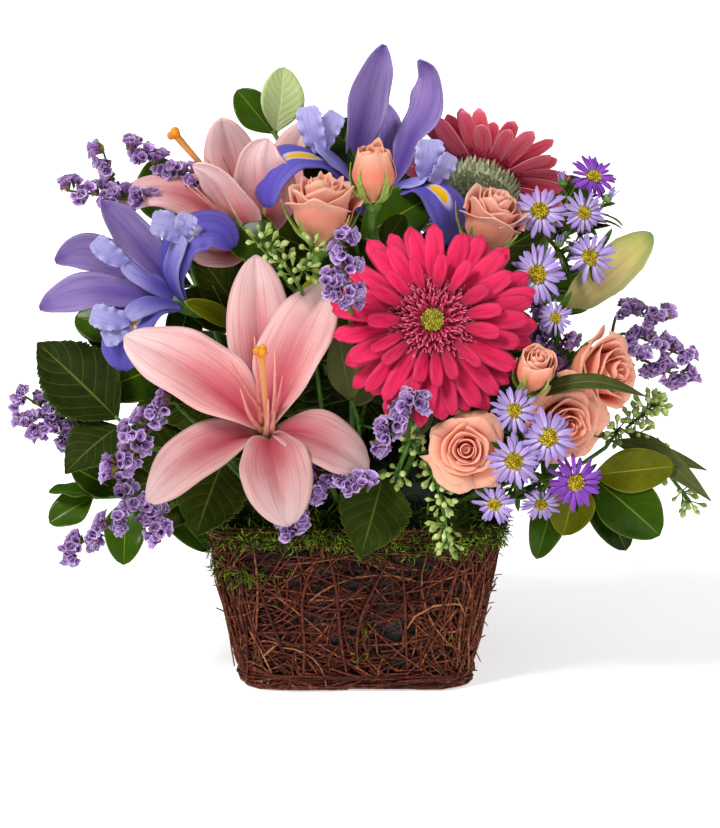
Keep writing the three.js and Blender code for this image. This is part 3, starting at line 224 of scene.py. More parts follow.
def lifted(uv_of):
    """The active object's mesh as a shape. The object itself is removed."""
    mesh = bpy.context.object.data
    points = np.empty(len(mesh.vertices) * 3)
    mesh.vertices.foreach_get("co", points)
    points = points.reshape(-1, 3)
    loops = np.empty(len(mesh.loops), int)
    mesh.loops.foreach_get("vertex_index", loops)
    sides = np.empty(len(mesh.polygons), int)
    mesh.polygons.foreach_get("loop_total", sides)
    bpy.data.objects.remove(bpy.context.object)
    return Shape(points, loops, sides, uv_of(points), np.full(len(points), 0.5))


def sheet_blank(along, across):
    """A flat grid: its long way is a petal's root to tip, its short way is edge to edge."""
    key = ("sheet", along, across)
    if key not in BLANKS:
        bpy.ops.mesh.primitive_grid_add(x_subdivisions=along, y_subdivisions=across, size=2.0)
        BLANKS[key] = lifted(lambda p: (p[:, :2] + 1.0) / 2.0)
    return BLANKS[key]


def rod_blank(sides, rings):
    """An upright rod, one unit tall and one in radius, extruded ring by ring and closed at both ends."""
    key = ("rod", sides, rings)
    if key not in BLANKS:
        bpy.ops.mesh.primitive_circle_add(vertices=sides, radius=1.0, fill_type="NGON")
        bpy.ops.object.mode_set(mode="EDIT")
        bpy.ops.mesh.select_all(action="SELECT")
        for _ in range(rings):
            bpy.ops.mesh.extrude_region_move(TRANSFORM_OT_translate={"value": (0.0, 0.0, 1.0 / rings)})
        bpy.ops.mesh.select_all(action="SELECT")
        bpy.ops.mesh.normals_make_consistent(inside=False)
        bpy.ops.object.mode_set(mode="OBJECT")
        around = lambda p: np.abs(np.arctan2(p[:, 1], p[:, 0])) / np.pi
        BLANKS[key] = lifted(lambda p: np.stack([p[:, 2], around(p)], 1))
    return BLANKS[key]


def ball_blank(detail=1):
    """A small ball of triangles, one unit in radius."""
    key = ("ball", detail)
    if key not in BLANKS:
        bpy.ops.mesh.primitive_ico_sphere_add(subdivisions=detail, radius=1.0)
        BLANKS[key] = lifted(lambda p: np.stack([(p[:, 2] + 1) / 2, np.full(len(p), 0.5)], 1))
    return BLANKS[key]


def joined(shapes):
    """Several shapes as one."""
    first = np.cumsum([0] + [len(s.points) for s in shapes[:-1]])
    loops = np.concatenate([s.loops + n for s, n in zip(shapes, first)])
    rest = [np.concatenate([getattr(s, field) for s in shapes]) for field in ("sides", "uv", "tint")]
    return Shape(np.concatenate([s.points for s in shapes]), loops, *rest)


def scattered(shape, places, tints):
    """One copy of a shape at each place, a 4 by 4 matrix, with its own tint."""
    places = np.asarray(places)
    count, size = len(places), len(shape.points)
    points = np.einsum("kij,nj->kni", places[:, :3, :3], shape.points) + places[:, None, :3, 3]
    loops = np.tile(shape.loops, count) + np.repeat(np.arange(count) * size, len(shape.loops))
    tint = np.repeat(np.asarray(tints, float), size)
    sides, uv = np.tile(shape.sides, count), np.tile(shape.uv, (count, 1))
    return Shape(points.reshape(-1, 3), loops, sides, uv, tint)


def standing(at, way, turn=0.0, size=1.0):
    """The place of a copy that stands at a point and grows along `way`, turned about it."""
    z = unit(way)
    x = unit(np.cross(z, (0.31, 0.9, 0.2)))
    y = np.cross(z, x)
    place = np.eye(4)
    place[:3, 0] = (math.cos(turn) * x + math.sin(turn) * y) * size
    place[:3, 1] = (math.cos(turn) * y - math.sin(turn) * x) * size
    place[:3, 2] = z * size
    place[:3, 3] = at
    return place


def stretched(place, *sizes):
    """The same place with its own three axes scaled."""
    place = place.copy()
    place[:3, :3] = place[:3, :3] @ np.diag(sizes)
    return place


def rolled(place, axis, angle):
    """The same place turned about its own axis 0, 1 or 2."""
    a, b = (axis + 1) % 3, (axis + 2) % 3
    turn = np.eye(3)
    turn[a, a] = turn[b, b] = math.cos(angle)
    turn[a, b], turn[b, a] = -math.sin(angle), math.sin(angle)
    place = place.copy()
    place[:3, :3] = place[:3, :3] @ turn
    return place


def shaded(shape, tint):
    return shape._replace(tint=np.full(len(shape.points), float(tint)))


print("a petal's blank has", len(sheet_blank(4, 2).points), "points")

# %% [markdown]
# ## From shape to finished piece
#
# A piece is one object with one finish. A node of the solid model may need several pieces, such as an
# aster's rays, its discs and its green stems, and all of them stand for that node. Petals and leaves start as
# sheets without thickness, and a Solidify modifier gives them their real one.

# %% Finished pieces
def finished(node, part, shapes, finish, thickness=0.0):
    """Makes one piece from its shapes, in metres. It replaces the node of that name, if there is one."""
    shape = joined(shapes)
    name = node if not part else node + "_" + part
    mesh = bpy.data.meshes.new(name)
    mesh.vertices.add(len(shape.points))
    mesh.vertices.foreach_set("co", (shape.points * MM).ravel())
    mesh.loops.add(len(shape.loops))
    mesh.loops.foreach_set("vertex_index", shape.loops)
    mesh.polygons.add(len(shape.sides))
    mesh.polygons.foreach_set("loop_start", np.cumsum(shape.sides) - shape.sides)
    mesh.polygons.foreach_set("loop_total", shape.sides)
    mesh.polygons.foreach_set("use_smooth", np.ones(len(shape.sides), bool))
    mesh.update(calc_edges=True)
    mesh.uv_layers.new(name="growth").data.foreach_set("uv", shape.uv[shape.loops].ravel())
    mesh.attributes.new("tint", "FLOAT", "POINT").data.foreach_set("value", shape.tint)
    mesh.materials.append(FINISHES[finish])
    piece = bpy.data.objects.new("piece_" + name, mesh)
    bpy.context.scene.collection.objects.link(piece)
    if thickness:
        bpy.ops.object.select_all(action="DESELECT")
        piece.select_set(True)
        bpy.context.view_layer.objects.active = piece
        wall = piece.modifiers.new("thickness", "SOLIDIFY")
        wall.thickness = thickness * MM
        wall.offset = 0.0
        bpy.ops.object.modifier_apply(modifier=wall.name)
    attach(piece, "root")
    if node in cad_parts:
        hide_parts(node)
    return piece


print(len(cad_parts), "nodes may be replaced")

# %% [markdown]
# ## Blades, tubes and stems
#
# A petal or leaf is a blade. Its spine leaves the bloom's axis at one slope and ends at another, and its
# width follows an outline with a root, a belly and a tip. The same few numbers made the solid, so the fine
# blade lies on it. Here the edge may also ripple, and a groove may run along the middle.

# %% Frames and curves
def frame_at(base, out, up):
    """Grows along `out`, with the upper face looking along `up`."""
    z = unit(up)
    x = unit(np.asarray(out, float) - z * np.dot(out, z))
    place = np.eye(4)
    place[:3, 0], place[:3, 1], place[:3, 2], place[:3, 3] = x, np.cross(z, x), z, base
    return place


def petal_frame(bloom, azimuth):
    """The frame of one petal, `azimuth` degrees round the bloom's axis from its side."""
    z = unit(bloom["faces"])
    x = unit(np.asarray(bloom["side"], float) - z * np.dot(bloom["side"], z))
    a = math.radians(azimuth)
    return frame_at(bloom["at"], math.cos(a) * x + math.sin(a) * np.cross(z, x), z)


def moved(shape, place):
    return shape._replace(points=shape.points @ place[:3, :3].T + place[:3, 3])


def behind(bloom, distance):
    return np.asarray(bloom["at"], float) - unit(bloom["faces"]) * distance


def curve_through(points, count):
    """`count` equal steps along a smooth curve through the points."""
    p = np.asarray(points, float)
    ends = [2 * p[0] - p[1], *p, 2 * p[-1] - p[-2]]
    t = np.linspace(0, 1, 10, endpoint=False)[:, None]
    spans = []
    for a, b, c, d in zip(ends, ends[1:], ends[2:], ends[3:]):
        bend = (2 * a - 5 * b + 4 * c - d) * t**2 + (3 * b - a - 3 * c + d) * t**3
        spans.append(0.5 * (2 * b + (c - a) * t + bend))
    dense = np.concatenate([*spans, p[-1:]])
    run = np.concatenate([[0], np.cumsum(np.linalg.norm(np.diff(dense, axis=0), axis=1))])
    at = np.linspace(0, run[-1], count + 1)
    return np.stack([np.interp(at, run, dense[:, i]) for i in range(3)], 1)


def tube(points, radius, sides=6, rings=10, swell=None, tint=0.5):
    """A rod bent along a curve. `swell` gives its radius as a share, from its start to its end."""
    blank = rod_blank(sides, rings)
    centres = curve_through(points, rings)
    ways = np.gradient(centres, axis=0)
    ways /= np.linalg.norm(ways, axis=1)[:, None]
    across = np.cross(ways[0], (0.3, 0.5, 0.8))
    first, second = [], []
    for way in ways:
        across = unit(across - way * np.dot(across, way))
        first.append(across)
        second.append(np.cross(way, across))
    ring = np.rint(blank.points[:, 2] * rings).astype(int)
    r = radius * (swell(blank.points[:, 2]) if swell else np.ones(len(ring)))
    x, y = (blank.points[:, 0] * r)[:, None], (blank.points[:, 1] * r)[:, None]
    points = centres[ring] + x * np.array(first)[ring] + y * np.array(second)[ring]
    return shaded(blank._replace(points=points), tint)


print("a hand's breadth of stem has", len(tube([(0, 0, 0), (0, 0, 80)], 2.0).points), "points")


# %% Blades
SPINE_STEPS = 24


def outline_at(t, root, tip, peak, blunt):
    """A blade's width at t, as a share of its greatest width."""
    rising = np.sin(np.pi / 2 * np.minimum(1, t / peak))
    falling = np.maximum(0, np.cos(np.pi / 2 * np.maximum(0, (t - peak) / (1 - peak))))
    return np.where(t < peak, root + (1 - root) * rising, tip + (1 - tip) * falling**blunt)


PLAIN_BLADE = {
    "open": 90, "close": 90, "late": 1, "start": 0, "root": 0.2, "tip": 0.1, "peak": 0.5, "blunt": 0.7,
    "cup": 0.15, "vee": 0, "vee_end": 0.2, "roll": 0, "ripple": 0, "waves": 3, "phase": 0, "groove": 0,
    "ribs": 0,
}


def laid_on(centres, ups, spec, along, across, tint):
    """A sheet along a spine.

    `cup` dishes it, `vee` folds it along the middle, `roll` turns its edges back, `ripple` waves the edges,
    `groove` sinks the midline, `ribs` raises lines, and `teeth` cuts into the edge.
    """
    s = {**PLAIN_BLADE, **spec}
    blank = sheet_blank(along, across)
    t, side = blank.uv[:, 0], blank.points[:, 1]
    steps = np.linspace(0, 1, len(centres))
    ways = np.gradient(centres, axis=0)
    at = lambda values: np.stack([np.interp(t, steps, values[:, i]) for i in range(3)], 1)
    way, up = at(ways), at(ups)
    up -= way * (np.sum(up * way, 1) / np.sum(way * way, 1))[:, None]
    up /= np.linalg.norm(up, axis=1)[:, None]
    aside = np.cross(up, way)
    aside /= np.linalg.norm(aside, axis=1)[:, None]
    edge = 1 + s["teeth"](t) * np.abs(side) ** 3 if "teeth" in s else 1
    half = s["width"] / 2 * outline_at(t, s["root"], s["tip"], s["peak"], s["blunt"])
    fold = s["vee"] + (s["vee_end"] - s["vee"]) * t if s["vee"] else 0
    lift = half * (s["cup"] * side**2 + fold * np.abs(side) ** 1.3 - s["roll"] * side**4 * t)
    wave = np.sin(2 * np.pi * s["waves"] * t + s["phase"] + 1.7 * (side > 0))
    lift += s["ripple"] * np.abs(side) ** 2.5 * wave * np.sin(np.pi * np.minimum(1, t * 1.1)) ** 0.5
    lift -= s["groove"] * np.exp(-((side / 0.16) ** 2)) * np.sin(np.pi * t) ** 0.4
    lift += s["ribs"] * np.cos(side * 3 * np.pi) * np.sin(np.pi * t) ** 0.5
    narrowed = half * side * edge * (1 - 0.35 * np.minimum(1, fold))
    points = at(np.asarray(centres)) + aside * narrowed[:, None] + up * lift[:, None]
    return shaded(blank._replace(points=points), tint)


def blade(place, spec, along=16, across=8, tint=0.5):
    """A petal or leaf whose spine leaves the axis at one slope, `open`, and ends at another, `close`."""
    s = {**PLAIN_BLADE, **spec}
    steps = np.arange(SPINE_STEPS + 1) / SPINE_STEPS
    middle = (steps[1:] + steps[:-1]) / 2
    slope = np.radians(s["open"] + (s["close"] - s["open"]) * middle ** s["late"])
    lean = np.radians(s["open"] + (s["close"] - s["open"]) * steps ** s["late"])
    first = math.radians(s["open"])
    reach = s["length"] / SPINE_STEPS
    out = s["start"] * math.sin(first) + np.concatenate([[0], np.cumsum(np.sin(slope) * reach)])
    up = s["start"] * math.cos(first) + np.concatenate([[0], np.cumsum(np.cos(slope) * reach)])
    spine = np.column_stack([out, 0 * out, up])
    normals = np.column_stack([-np.cos(lean), 0 * lean, np.sin(lean)])
    turned, shifted = place[:3, :3], place[:3, 3]
    return laid_on(spine @ turned.T + shifted, normals @ turned.T, s, along, across, tint)


def ribbon(points, faces, spec, along=22, across=10, tint=0.5):
    """A petal whose spine passes through the points. Its upper side turns along `faces`."""
    centres = curve_through(points, SPINE_STEPS)
    turns = np.linspace(0, 1, len(faces))
    ups = np.stack([np.interp(np.linspace(0, 1, SPINE_STEPS + 1), turns, axis) for axis in zip(*faces)], 1)
    return laid_on(centres, ups, spec, along, across, tint)


def leaf_blade(base, tip, face, width, spec=None, along=14, across=6, tint=0.5):
    """A leaf from its base to its tip, arched, its upper side looking along `face`."""
    spec = spec or {}
    chord = np.asarray(tip, float) - base
    bend = spec.get("bend", 30)
    arch = math.radians(bend) / 2
    length = np.linalg.norm(chord) * arch / math.sin(arch)
    shape = {"root": 0.02, "tip": 0.02, "peak": 0.5, "blunt": 0.6, "cup": 0.18, "groove": 0.4, **spec}
    slopes = {"length": length, "width": width, "open": 90 - bend / 2, "close": 90 + bend / 2}
    return blade(frame_at(base, chord, face), {**shape, **slopes}, along, across, tint)


print(len(PLAIN_BLADE), "numbers describe a plain blade")

# %% [markdown]
# Every stem is cut to length and pushed into the wet foam. Its lower end aims at a spot low in the foam, and
# stops a little past the foam's face.

# %% Stems that stand in the foam
FOAM = {"half": 50.0, "top": 120.0}
STEM_DEPTH = 24.0
STEM_AIM = {"share": 0.42, "z": 84.0}


def foam_end(start):
    """Where a stem ends: straight on into the foam, on its own side, STEM_DEPTH past the foam's face."""
    p = np.asarray(start, float).copy()
    way = unit(np.array([*p[:2] * STEM_AIM["share"], STEM_AIM["z"]]) - p)
    while max(abs(p[:2])) > FOAM["half"] or p[2] > FOAM["top"]:
        p = p + way * 0.5
    return p + way * STEM_DEPTH


def rooted(points, radius, sides=8, tint=0.5):
    """A stem that stands in the foam and passes through the points."""
    return tube([foam_end(points[0]), *points], radius, sides, 14, lambda t: 1.1 - 0.2 * t, tint)


print("a stem has", len(rod_blank(8, 14).sides), "faces")

# %% [markdown]
# ## Finishes of petals
#
# A petal is a thin skin over watery cells. It glows a little where light passes through it, is duller than a
# leaf, and is crossed by fine veins from root to tip. Its colour changes along its length and pales at the
# edge. One recipe makes all petals from those facts: the colours from root to tip, the edge's colour, how
# strong the veins are, and how much one petal differs from the next.

# %% What every petal and leaf reads
GLOW_DEPTH = 0.002


def growth(tree):
    """Its growth map, how far along and how far across a point is, its copy's tint, and its place."""
    grow = add(tree, "UVMap", uv_map="growth").outputs["UV"]
    parts = add(tree, "SeparateXYZ", {"Vector": grow}).outputs
    tint = add(tree, "Attribute", attribute_name="tint").outputs["Fac"]
    place = add(tree, "TexCoord").outputs["Object"]
    return grow, parts["X"], parts["Y"], tint, place


print("light sinks", 1000 * GLOW_DEPTH, "mm into a petal")


# %% Petal finishes
def petal_finish(
    name, along, edge, edge_share, vein, vein_share, veins_across, gloss=0.5, glow=0.12, band=None, relief=0.3
):
    """A petal: colours from root to tip, its edge, fine veins and, if asked, a band up its middle."""
    tree, shader = bare_finish(name, gloss, 1.4)
    grow, far_along, far_across, tint, place = growth(tree)
    mottle = add(tree, "TexNoise", {"Vector": place, "Scale": PER_MM / 9.0, "Detail": 3.0})
    drift = add(tree, "Math", {0: mottle, 1: 0.16, 2: -0.08}, operation="MULTIPLY_ADD")
    length = add(tree, "Math", {0: far_along, 1: drift}, operation="ADD")
    body = stops(add(tree, "ValToRGB", {"Fac": length}), along)
    centred = add(tree, "Math", {0: far_across, 1: 2.0, 2: -1.0}, operation="MULTIPLY_ADD")
    aside = add(tree, "Math", {0: centred}, operation="ABSOLUTE")
    rim = add(tree, "Math", {0: aside, 1: 3.0}, operation="POWER")
    rim = add(tree, "Math", {0: rim, 1: edge_share}, operation="MULTIPLY")
    rimmed = add(tree, "Mix", {0: rim, 6: body, 7: linear(edge)}, data_type="RGBA")
    long_way = add(tree, "Mapping", {"Vector": grow, "Scale": (2.2, veins_across, 1.0)})
    lines = add(tree, "TexNoise", {"Vector": long_way, "Scale": 1.0, "Detail": 2.0})
    fine = add(tree, "MapRange", {"Value": lines, 1: 0.45, 2: 0.68, 4: vein_share})
    veined = add(tree, "Mix", {0: fine, 6: rimmed, 7: linear(vein)}, data_type="RGBA")
    if band:
        inner = add(tree, "MapRange", {"Value": aside, 1: 0.5, 2: 0.05, 3: 0.0, 4: 0.7})
        outer = add(tree, "MapRange", {"Value": length, 1: 0.85, 2: 0.3, 3: 0.0, 4: 1.0})
        both = add(tree, "Math", {0: inner, 1: outer}, operation="MULTIPLY")
        veined = add(tree, "Mix", {0: both, 6: veined, 7: linear(band)}, data_type="RGBA")
    # The tint sets how light the colour is. It varies at random from petal to petal, and on the front lily
    # and the gerberas it also carries painted light and shade.
    value = add(tree, "MapRange", {"Value": tint, 3: 0.72, 4: 1.18})
    hue = add(tree, "HueSaturation", {"Color": veined, "Value": value})
    bump = add(tree, "Bump", {"Height": lines, "Strength": relief, "Distance": 0.0004})
    skin = {"Subsurface Weight": glow, "Subsurface Radius": (1.0, 0.5, 0.4), "Subsurface Scale": GLOW_DEPTH}
    down = {"Sheen Weight": 0.03, "Sheen Roughness": 0.5}
    fill(tree, shader, {"Base Color": hue, "Normal": bump, **skin, **down})
    return tree, shader


LILY_ALONG = [
    (0.0, "#A39A50"), (0.08, "#B97F5C"), (0.16, "#C24E5E"), (0.4, "#CE7A7E"), (0.66, "#D8A2A2"),
    (0.95, "#E2C6C6"),
]
petal_finish("lily_petal", LILY_ALONG, "#EBC4C0", 0.8, "#B94C64", 0.45, 24.0, band="#B94258")
KEEL_ALONG = [(0.0, "#9FA35C"), (0.7, "#C7B488"), (1.0, "#DDB0A2")]
petal_finish("pale_keel", KEEL_ALONG, "#C7B488", 0.2, "#8E9A4E", 0.3, 6.0)
STANDARD_ALONG = [(0.0, "#43308A"), (0.3, "#6E56A2"), (0.7, "#9079B4"), (0.9, "#8670B0"), (1.0, "#5E4490")]
petal_finish("iris_standard", STANDARD_ALONG, "#A898C8", 0.6, "#5A4496", 0.65, 24.0, band="#544094")
CREST_ALONG = [(0.0, "#7C78C4"), (0.5, "#A09CD8"), (1.0, "#B4B2E4")]
petal_finish("iris_crest", CREST_ALONG, "#C2C0EA", 0.6, "#7A72BE", 0.6, 16.0)
STYLE_ALONG = [(0.0, "#43359C"), (0.45, "#675BB6"), (0.8, "#908CCE"), (1.0, "#A6A3DA")]
petal_finish("iris_style", STYLE_ALONG, "#B0B0E0", 0.6, "#5D54B0", 0.6, 18.0, band="#5448A8")
RAY_ALONG = [(0.0, "#74062A"), (0.2, "#BA0C3E"), (0.55, "#E2124E"), (1.0, "#E0265C")]
petal_finish("gerbera_ray", RAY_ALONG, "#D03E6C", 0.7, "#980A36", 0.75, 9.0, 0.6, relief=0.8)
BACK_ALONG = [(0.0, "#B82E46"), (0.35, "#DE4460"), (0.8, "#EA5870"), (1.0, "#EA687E")]
petal_finish("gerbera_back", BACK_ALONG, "#E88A9A", 0.7, "#E393A2", 0.55, 13.0, 0.5, 0.3)
THREAD_ALONG = [(0.0, "#7E0E2E"), (0.45, "#B01A46"), (0.75, "#D03660"), (0.9, "#DE6C88"), (1.0, "#EBAEB6")]
petal_finish("gerbera_thread", THREAD_ALONG, "#C8345C", 0.3, "#7C0D2C", 0.3, 5.0, 0.5)
ASTER_ALONG = [(0.0, "#DCD2EE"), (0.3, "#BBA6DC"), (1.0, "#9A7CC6")]
petal_finish("aster_ray", ASTER_ALONG, "#C2AEE0", 0.4, "#7E60B2", 0.5, 7.0, 0.55)
DEEP_ALONG = [(0.0, "#9A5CC8"), (0.4, "#8E48BE"), (1.0, "#7A36AE")]
petal_finish("deep_aster_ray", DEEP_ALONG, "#A863D2", 0.4, "#6A2E9C", 0.5, 7.0, 0.55)
PAPER_ALONG = [(0.0, "#6E6636"), (0.2, "#7A4E96"), (0.5, "#986AB0"), (0.8, "#B28AC8"), (1.0, "#DCC6EC")]
petal_finish("statice_paper", PAPER_ALONG, "#B088CA", 0.2, "#6C408C", 0.5, 12.0, 0.7, 0.3)
print(len(FINISHES) - 1, "petal finishes")

# %% [markdown]
# The falls of an iris carry a yellow patch where they bend, ringed by pale lines, which leads an insect in.
# It is laid over the petal's own colour by how far along and how far across the point is.

# %% Iris falls
FALL_ALONG = [(0.0, "#3A2A90"), (0.3, "#4F3FA6"), (0.6, "#5E54B6"), (1.0, "#564AAC")]


def iris_fall():
    tree, shader = petal_finish("iris_fall", FALL_ALONG, "#8078C8", 0.6, "#35278A", 0.6, 28.0)
    petal_colour = shader.inputs["Base Color"].links[0].from_socket
    grow = add(tree, "UVMap", uv_map="growth")
    ripple = add(tree, "TexNoise", {"Vector": grow, "Scale": 9.0}).outputs["Color"]
    warp = add(tree, "MixRGB", {0: 0.06, 1: grow, 2: ripple}, blend_type="ADD")
    patch = add(tree, "Mapping", {"Vector": warp, "Location": (-1.9, -1.77, 0.0), "Scale": (3.4, 3.3, 0.0)})
    away = add(tree, "VectorMath", {0: patch}, operation="LENGTH")
    pale = add(tree, "MapRange", {"Value": away, 1: 0.64, 2: 0.44, 3: 0.0, 4: 0.9})
    ringed = add(tree, "Mix", {0: pale, 6: petal_colour, 7: linear("#D6D2EE")}, data_type="RGBA")
    gold = add(tree, "MapRange", {"Value": away, 1: 0.46, 2: 0.36, 3: 0.0, 4: 1.0})
    marked = add(tree, "Mix", {0: gold, 6: ringed, 7: linear("#E9B30A")}, data_type="RGBA")
    fill(tree, shader, {"Base Color": marked})


iris_fall()
print("nodes of the iris fall:", len(FINISHES["iris_fall"].node_tree.nodes))

# %% [markdown]
# A spray rose is coral in its heart and peach outside, with pale rims where the petals fold back. Here the
# tint says how far out a petal sits, so one finish serves the whole bloom.

# %% Rose petals
def rose_finish(name, heart, outside, rim, root):
    tree, shader = bare_finish(name, 0.5, 1.4)
    grow, far_along, _, tint, place = growth(tree)
    mottle = add(tree, "TexNoise", {"Vector": place, "Scale": PER_MM / 7.0, "Detail": 3.0})
    drift = add(tree, "Math", {0: mottle, 1: 0.5, 2: -0.25}, operation="MULTIPLY_ADD")
    outwards = add(tree, "Math", {0: tint, 1: drift}, operation="ADD", use_clamp=True)
    body = add(tree, "Mix", {0: outwards, 6: linear(heart), 7: linear(outside)}, data_type="RGBA")
    low = add(tree, "MapRange", {"Value": far_along, 1: 0.6, 2: 0.0, 3: 0.0, 4: 0.85})
    rooted_body = add(tree, "Mix", {0: low, 6: body, 7: linear(root)}, data_type="RGBA")
    high = add(tree, "MapRange", {"Value": far_along, 1: 0.6, 2: 1.0, 3: 0.0, 4: 0.75})
    rimmed = add(tree, "Mix", {0: high, 6: rooted_body, 7: linear(rim)}, data_type="RGBA")
    long_way = add(tree, "Mapping", {"Vector": grow, "Scale": (2.0, 22.0, 1.0)})
    lines = add(tree, "TexNoise", {"Vector": long_way, "Scale": 1.0, "Detail": 2.0})
    fine = add(tree, "MapRange", {"Value": lines, 1: 0.5, 2: 0.75, 4: 0.35})
    veined = add(tree, "Mix", {0: fine, 6: rimmed, 7: linear(heart)}, data_type="RGBA")
    bump = add(tree, "Bump", {"Height": lines, "Strength": 0.25, "Distance": 0.0004})
    skin = {"Subsurface Weight": 0.3, "Subsurface Radius": (1.0, 0.45, 0.3), "Subsurface Scale": GLOW_DEPTH}
    fill(tree, shader, {"Base Color": veined, "Normal": bump, "Sheen Weight": 0.1, **skin})


rose_finish("peach_rose", "#E64A34", "#E48468", "#F0BCA2", "#E0A880")
rose_finish("dusty_rose", "#DE624A", "#DD8672", "#EFC0AA", "#DEB488")
print("roses in", [name for name in FINISHES if name.endswith("rose")])

# %% [markdown]
# ## Finishes of leaves and stems
#
# Rose leaves are dark, dull and quilted by side veins. The round leaves of the filler shrub have a wax skin
# that mirrors the window. A leaf's midrib is a pale line, and side veins leave it at a slant. Both are drawn
# from how far along and across the leaf a point is, so they follow every bend.

# %% Leaf finishes
def leaf_finish(name, shade, light, rib, gloss, side_veins, vein_share, quilt, coat=0.0):
    """A leaf between two greens by its tint, with a midrib and slanted side veins."""
    tree, shader = bare_finish(name, gloss, 1.45)
    _, far_along, far_across, tint, place = growth(tree)
    mottle = add(tree, "TexNoise", {"Vector": place, "Scale": PER_MM / 6.0, "Detail": 4.0})
    drift = add(tree, "Math", {0: mottle, 1: 0.5, 2: -0.25}, operation="MULTIPLY_ADD")
    tone = add(tree, "Math", {0: tint, 1: drift}, operation="ADD", use_clamp=True)
    body = add(tree, "Mix", {0: tone, 6: linear(shade), 7: linear(light)}, data_type="RGBA")
    centred = add(tree, "Math", {0: far_across, 1: 2.0, 2: -1.0}, operation="MULTIPLY_ADD")
    aside = add(tree, "Math", {0: centred}, operation="ABSOLUTE")
    bowed = add(tree, "Math", {0: aside, 1: 1.15}, operation="POWER")
    slant = add(tree, "Math", {0: bowed, 1: -0.3, 2: far_along}, operation="MULTIPLY_ADD")
    turns = add(tree, "Math", {0: slant, 1: side_veins * math.tau}, operation="MULTIPLY")
    wave = add(tree, "Math", {0: turns}, operation="COSINE")
    side_line = add(tree, "MapRange", {"Value": wave, 1: 0.93, 2: 1.0, 3: 0.0, 4: vein_share})
    mid_line = add(tree, "MapRange", {"Value": aside, 1: 0.04, 2: 0.012, 3: 0.0, 4: 0.8})
    lines = add(tree, "Math", {0: side_line, 1: mid_line}, operation="MAXIMUM")
    ribbed = add(tree, "Mix", {0: lines, 6: body, 7: linear(rib)}, data_type="RGBA")
    margin = add(tree, "MapRange", {"Value": aside, 1: 0.93, 2: 1.0, 3: 0.0, 4: 0.45})
    edged = add(tree, "Mix", {0: margin, 6: ribbed, 7: linear(rib)}, data_type="RGBA")
    swell = add(tree, "Math", {0: wave, 1: -quilt, 2: mottle}, operation="MULTIPLY_ADD")
    height = add(tree, "Math", {0: lines, 1: -0.8, 2: swell}, operation="MULTIPLY_ADD")
    bump = add(tree, "Bump", {"Height": height, "Strength": 0.35, "Distance": 0.0006})
    wax = {"Specular IOR Level": 0.06, "Coat Weight": coat, "Coat Roughness": 0.18}
    fill(tree, shader, {"Base Color": edged, "Normal": bump, **wax})


leaf_finish("rose_leaf", "#141F04", "#3C4A0C", "#606E28", 0.55, 7.0, 0.28, 0.4)
leaf_finish("waxy_leaf", "#101E02", "#365603", "#788E2C", 0.34, 6.0, 0.06, 0.06, 0.12)
leaf_finish("olive_leaf", "#484A04", "#82860C", "#9CA03C", 0.42, 8.0, 0.1, 0.1, 0.06)
leaf_finish("pale_leaf", "#9DB568", "#C6D49A", "#E2E9C4", 0.5, 8.0, 0.35, 0.3)
leaf_finish("grey_leaf", "#343C16", "#62683A", "#808654", 0.55, 6.0, 0.06, 0.08)
print("leaves in", [name for name in FINISHES if name.endswith("leaf")])

# %% [markdown]
# Stems, sepals and bracts are plain green growth: fine lines along them, paler on the ridges. Bark, seeds,
# moss, foam and the plastic liner each have one recipe of their own: a colour that varies with a noise of the
# real grain's size, and the same grain as bump.

# %% Grown and made surfaces
def grain_finish(name, colours, gloss, grain_mm, strength, stretch=(1.0, 1.0, 1.0), tinted=0.6, coat=0.0):
    """A surface whose colour and bump follow a grain of a real size, shifted by each copy's tint."""
    tree, shader = bare_finish(name, gloss, 1.45)
    place = add(tree, "TexCoord").outputs["Object"]
    tint = add(tree, "Attribute", attribute_name="tint").outputs["Fac"]
    scaled = add(tree, "Mapping", {"Vector": place, "Scale": stretch})
    fineness = {"Scale": PER_MM / grain_mm, "Detail": 4.0, "Roughness": 0.6}
    grain = add(tree, "TexNoise", {"Vector": scaled, **fineness})
    shift = add(tree, "Math", {0: tint, 1: tinted, 2: -tinted / 2}, operation="MULTIPLY_ADD")
    tone = add(tree, "Math", {0: grain, 1: shift}, operation="ADD")
    colour = stops(add(tree, "ValToRGB", {"Fac": tone}), colours)
    bump = add(tree, "Bump", {"Height": grain, "Strength": strength, "Distance": 0.0005})
    fill(tree, shader, {"Base Color": colour, "Normal": bump, "Coat Weight": coat})


STEM_GREENS = [(0.2, "#263C12"), (0.5, "#4A7026"), (0.8, "#749A40")]
grain_finish("green_stem", STEM_GREENS, 0.5, 3.0, 0.15, (1, 1, 0.2))
grain_finish("sepal", [(0.2, "#4A6A26"), (0.5, "#7C9C40"), (0.8, "#A9BE66")], 0.55, 2.0, 0.2)
grain_finish("bract", [(0.15, "#4A5236"), (0.45, "#7B835E"), (0.8, "#B3B795")], 0.7, 1.5, 0.3)
grain_finish("brown_calyx", [(0.2, "#4E5424"), (0.5, "#84863E"), (0.8, "#9A5E48")], 0.7, 1.5, 0.3)
grain_finish("lily_filament", [(0.2, "#D0706C"), (0.5, "#E08F86"), (0.8, "#E9AC9C")], 0.45, 3.0, 0.1)
grain_finish("aster_eye", [(0.15, "#6E5A10"), (0.45, "#A99118"), (0.75, "#D6C232")], 0.7, 0.9, 0.5)
grain_finish("gerbera_eye", [(0.2, "#6A6414"), (0.5, "#A39A26"), (0.8, "#C6B93E")], 0.7, 0.7, 0.6)
grain_finish("seed_capsule", [(0.15, "#667A38"), (0.45, "#98AC58"), (0.8, "#C2D088")], 0.55, 1.8, 0.2)
BARK = [(0.1, "#100401"), (0.42, "#46180B"), (0.62, "#6A301C"), (0.9, "#A27048")]
grain_finish("twig_bark", BARK, 0.7, 2.2, 0.5, tinted=0.75)
